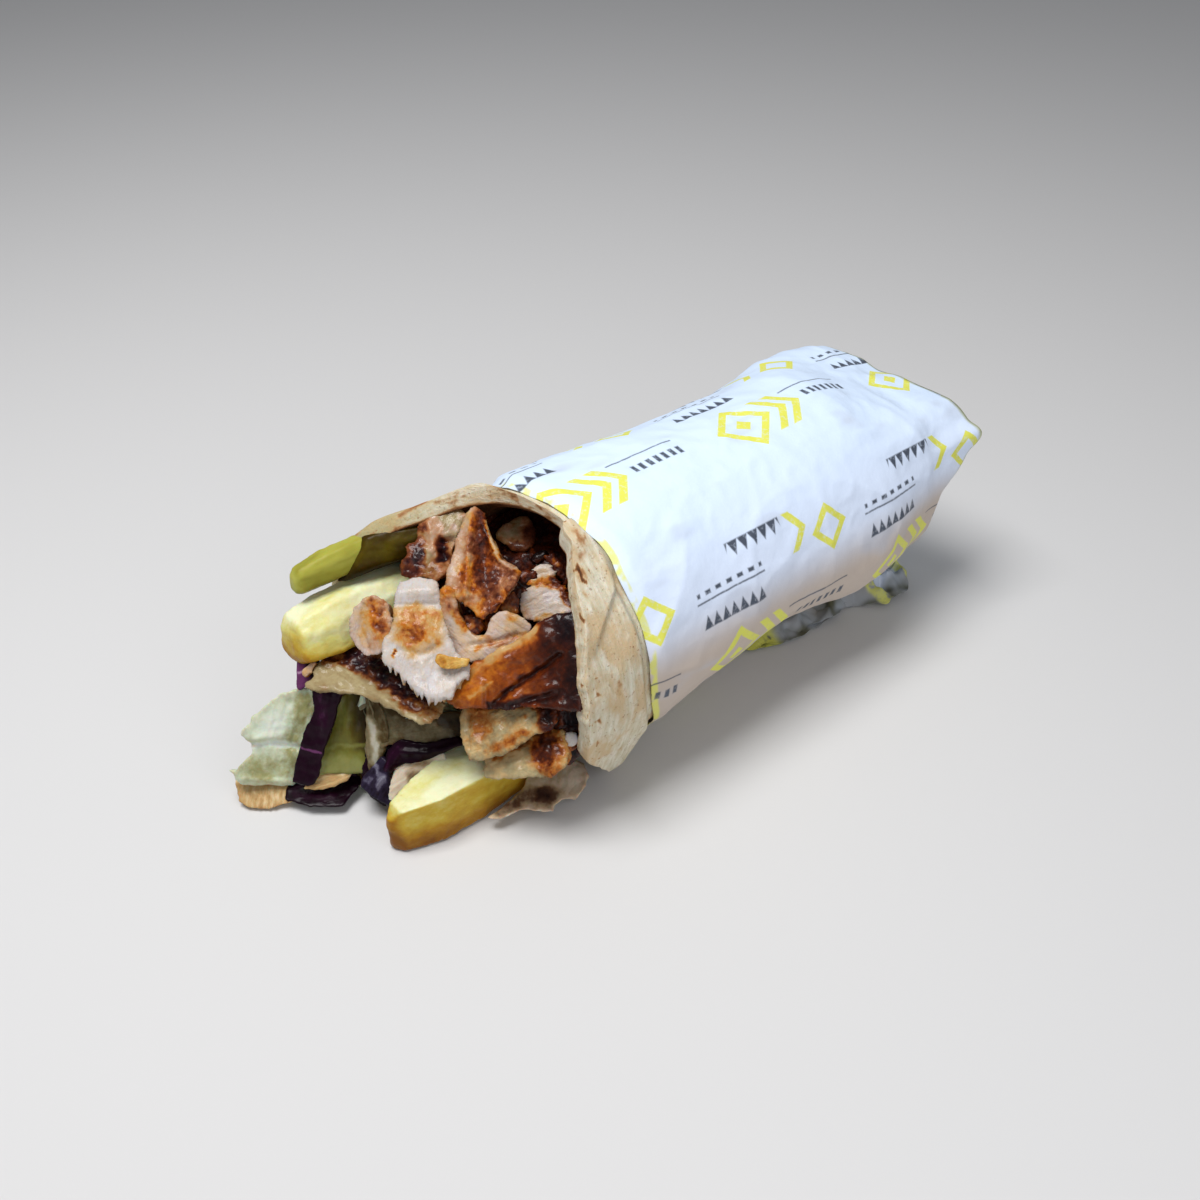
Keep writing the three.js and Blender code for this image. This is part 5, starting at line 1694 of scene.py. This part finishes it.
# Each kind of salad: its material's name, its colours, how uneven it is, the size of its specks,
# its fibres, its gloss, its relief, how much light goes through it and how wet it is.
SALAD = {
    "pale_green": ("lettuce", PALE_GREEN, 0.5, 1.6, 0.1, (0.28, 0.34), (0.08, 0.18), 0.35, 0.2),
    "milky": ("wilted_salad", MILKY, 0.4, 1.6, 0.2, (0.3, 0.4), (0.15, 0.15), 0.35, 0.2),
    "purple": ("red_cabbage", PURPLE, 0.3, 2.0, 0.2, (0.26, 0.3), (0.08, 0.12), 0.0, 0.06),
    "olive": ("inner_leaf", OLIVE, 0.4, 2.4, 0.14, (0.3, 0.4), (0.1, 0.15), 0.35, 0.2),
    "frosted": ("frosted_cabbage", FROSTED, 0.6, 0.9, 0.5, (0.36, 0.4), (0.14, 0.14), 0.0, 0.1),
    "ruffled": ("ruffled_leaf", RUFFLED, 0.5, 1.6, 0.2, (0.3, 0.4), (0.15, 0.15), 0.35, 0.2),
    "tan": ("leaf_foot", TAN, 0.25, 1.4, 0.8, (0.45, 0.5), (0.2, 0.1), 0.2, 0.0),
}
# The loose strips over the salad's core: their kind, how many, their lengths, widths, thickness,
# twist and tone.
SHREDS = {
    "lettuce_shreds": ("pale_green", 34, (14, 26), (3, 6), 0.9, 0.1, 0.35),
    "wilted_shreds": ("milky", 26, (10, 22), (2.5, 5), 0.9, 0.12, 0.4),
    "cabbage_shreds": ("purple", 20, (10, 22), (2, 4), 1.0, 0.14, 0.7),
}


def greens():
    kinds = {}
    for kind, (name, stops, uneven, size, fibre, gloss, relief, through, coat) in SALAD.items():
        wet = dict(Coat_Weight=coat, **soft(through, 0.002))
        kinds[kind] = food_material(name, stops, None, uneven, size, fibre, gloss, relief, **wet)

    def done(piece, kind, replaced):
        finish(piece, kinds[kind], replaced)

    for i, (name, settings) in enumerate(LEAVES.items()):
        plate, settings = split(settings)
        plate = {"voxel": 0.34, **plate}
        node, kind = settings.pop("node", None), settings.pop("kind")
        piece = leaf(slab(name, taper=1.0, **plate), seed=300 + 10 * i, **settings)
        done(piece, kind, [node] if node else [])
    strip = leaf(carved("cabbage_4", "cabbage_4_strip", 0.36, 3, 0), 0.85, [], wave=0.2, seed=60)
    done(strip, "purple", ["cabbage_4"])
    core = carved("salad_filling", "salad_core", 0.8, 3, -0.3)
    core = leaf(core, 0.9, [], wave=0.6, seed=70)
    kept_inside(core)
    finish(core, kinds["olive"], ["salad_filling"])
    for i, (name, (kind, *strips)) in enumerate(SHREDS.items()):
        done(strewn(name, core, *strips, 600 + i), kind, ["salad_filling"])


# ---------- the scene ----------
def look_at(piece, place, target):
    piece.location = Vector(place) * MM
    direction = Vector(target) - Vector(place)
    piece.rotation_euler = direction.to_track_quat("-Z", "Y").to_euler()


def light(name, place, target, power, size, colour):
    data = bpy.data.lights.new(name, "AREA")
    data.energy = power
    data.size = size
    data.color = colour
    lamp = bpy.data.objects.new(name, data)
    bpy.context.scene.collection.objects.link(lamp)
    look_at(lamp, place, target)


def stage():
    scene = bpy.context.scene
    scene.view_settings.view_transform = "Standard"
    camera = bpy.data.objects.new("camera", bpy.data.cameras.new("camera"))
    scene.collection.objects.link(camera)
    camera.data.lens = 39.0
    camera.data.sensor_width = 36.0
    camera.data.clip_start = 0.01
    look_at(camera, (184.0, -161.4, 217.0), (1.09, -7.91, 30.5))
    scene.camera = camera

    far = 3000
    corners = [(-far, -far, 0), (far, -far, 0), (far, far, 0), (-far, far, 0)]
    floor = build("floor", corners, [(0, 1, 2, 3)])
    s = Shader("floor", Roughness=0.9)
    s.set("Base Color", linear(210, 210, 210))
    floor.data.materials.append(s.material)

    world = bpy.data.worlds.new("studio")
    world.use_nodes = True
    background = world.node_tree.nodes["Background"].inputs
    background[0].default_value = (0.93, 0.95, 1.0, 1)
    background[1].default_value = 0.22
    scene.world = world
    target = (0, -10, 30)
    light("key", (-40, -170, 620), target, 3.9, 0.3, (1.0, 0.99, 0.985))
    light("fill", (480, -80, 280), target, 0.85, 0.5, (0.98, 0.98, 1.0))


stage()
printed = paper_material()
sleeve = paper_sleeve()
for sheet in [sleeve] + paper_flaps(sleeve) + paper_tail():
    finish(sheet, printed, ["paper_wrap"])
finish(flatbread(), bread_material(), ["flatbread"])
all_chicken()
bars()
greens()
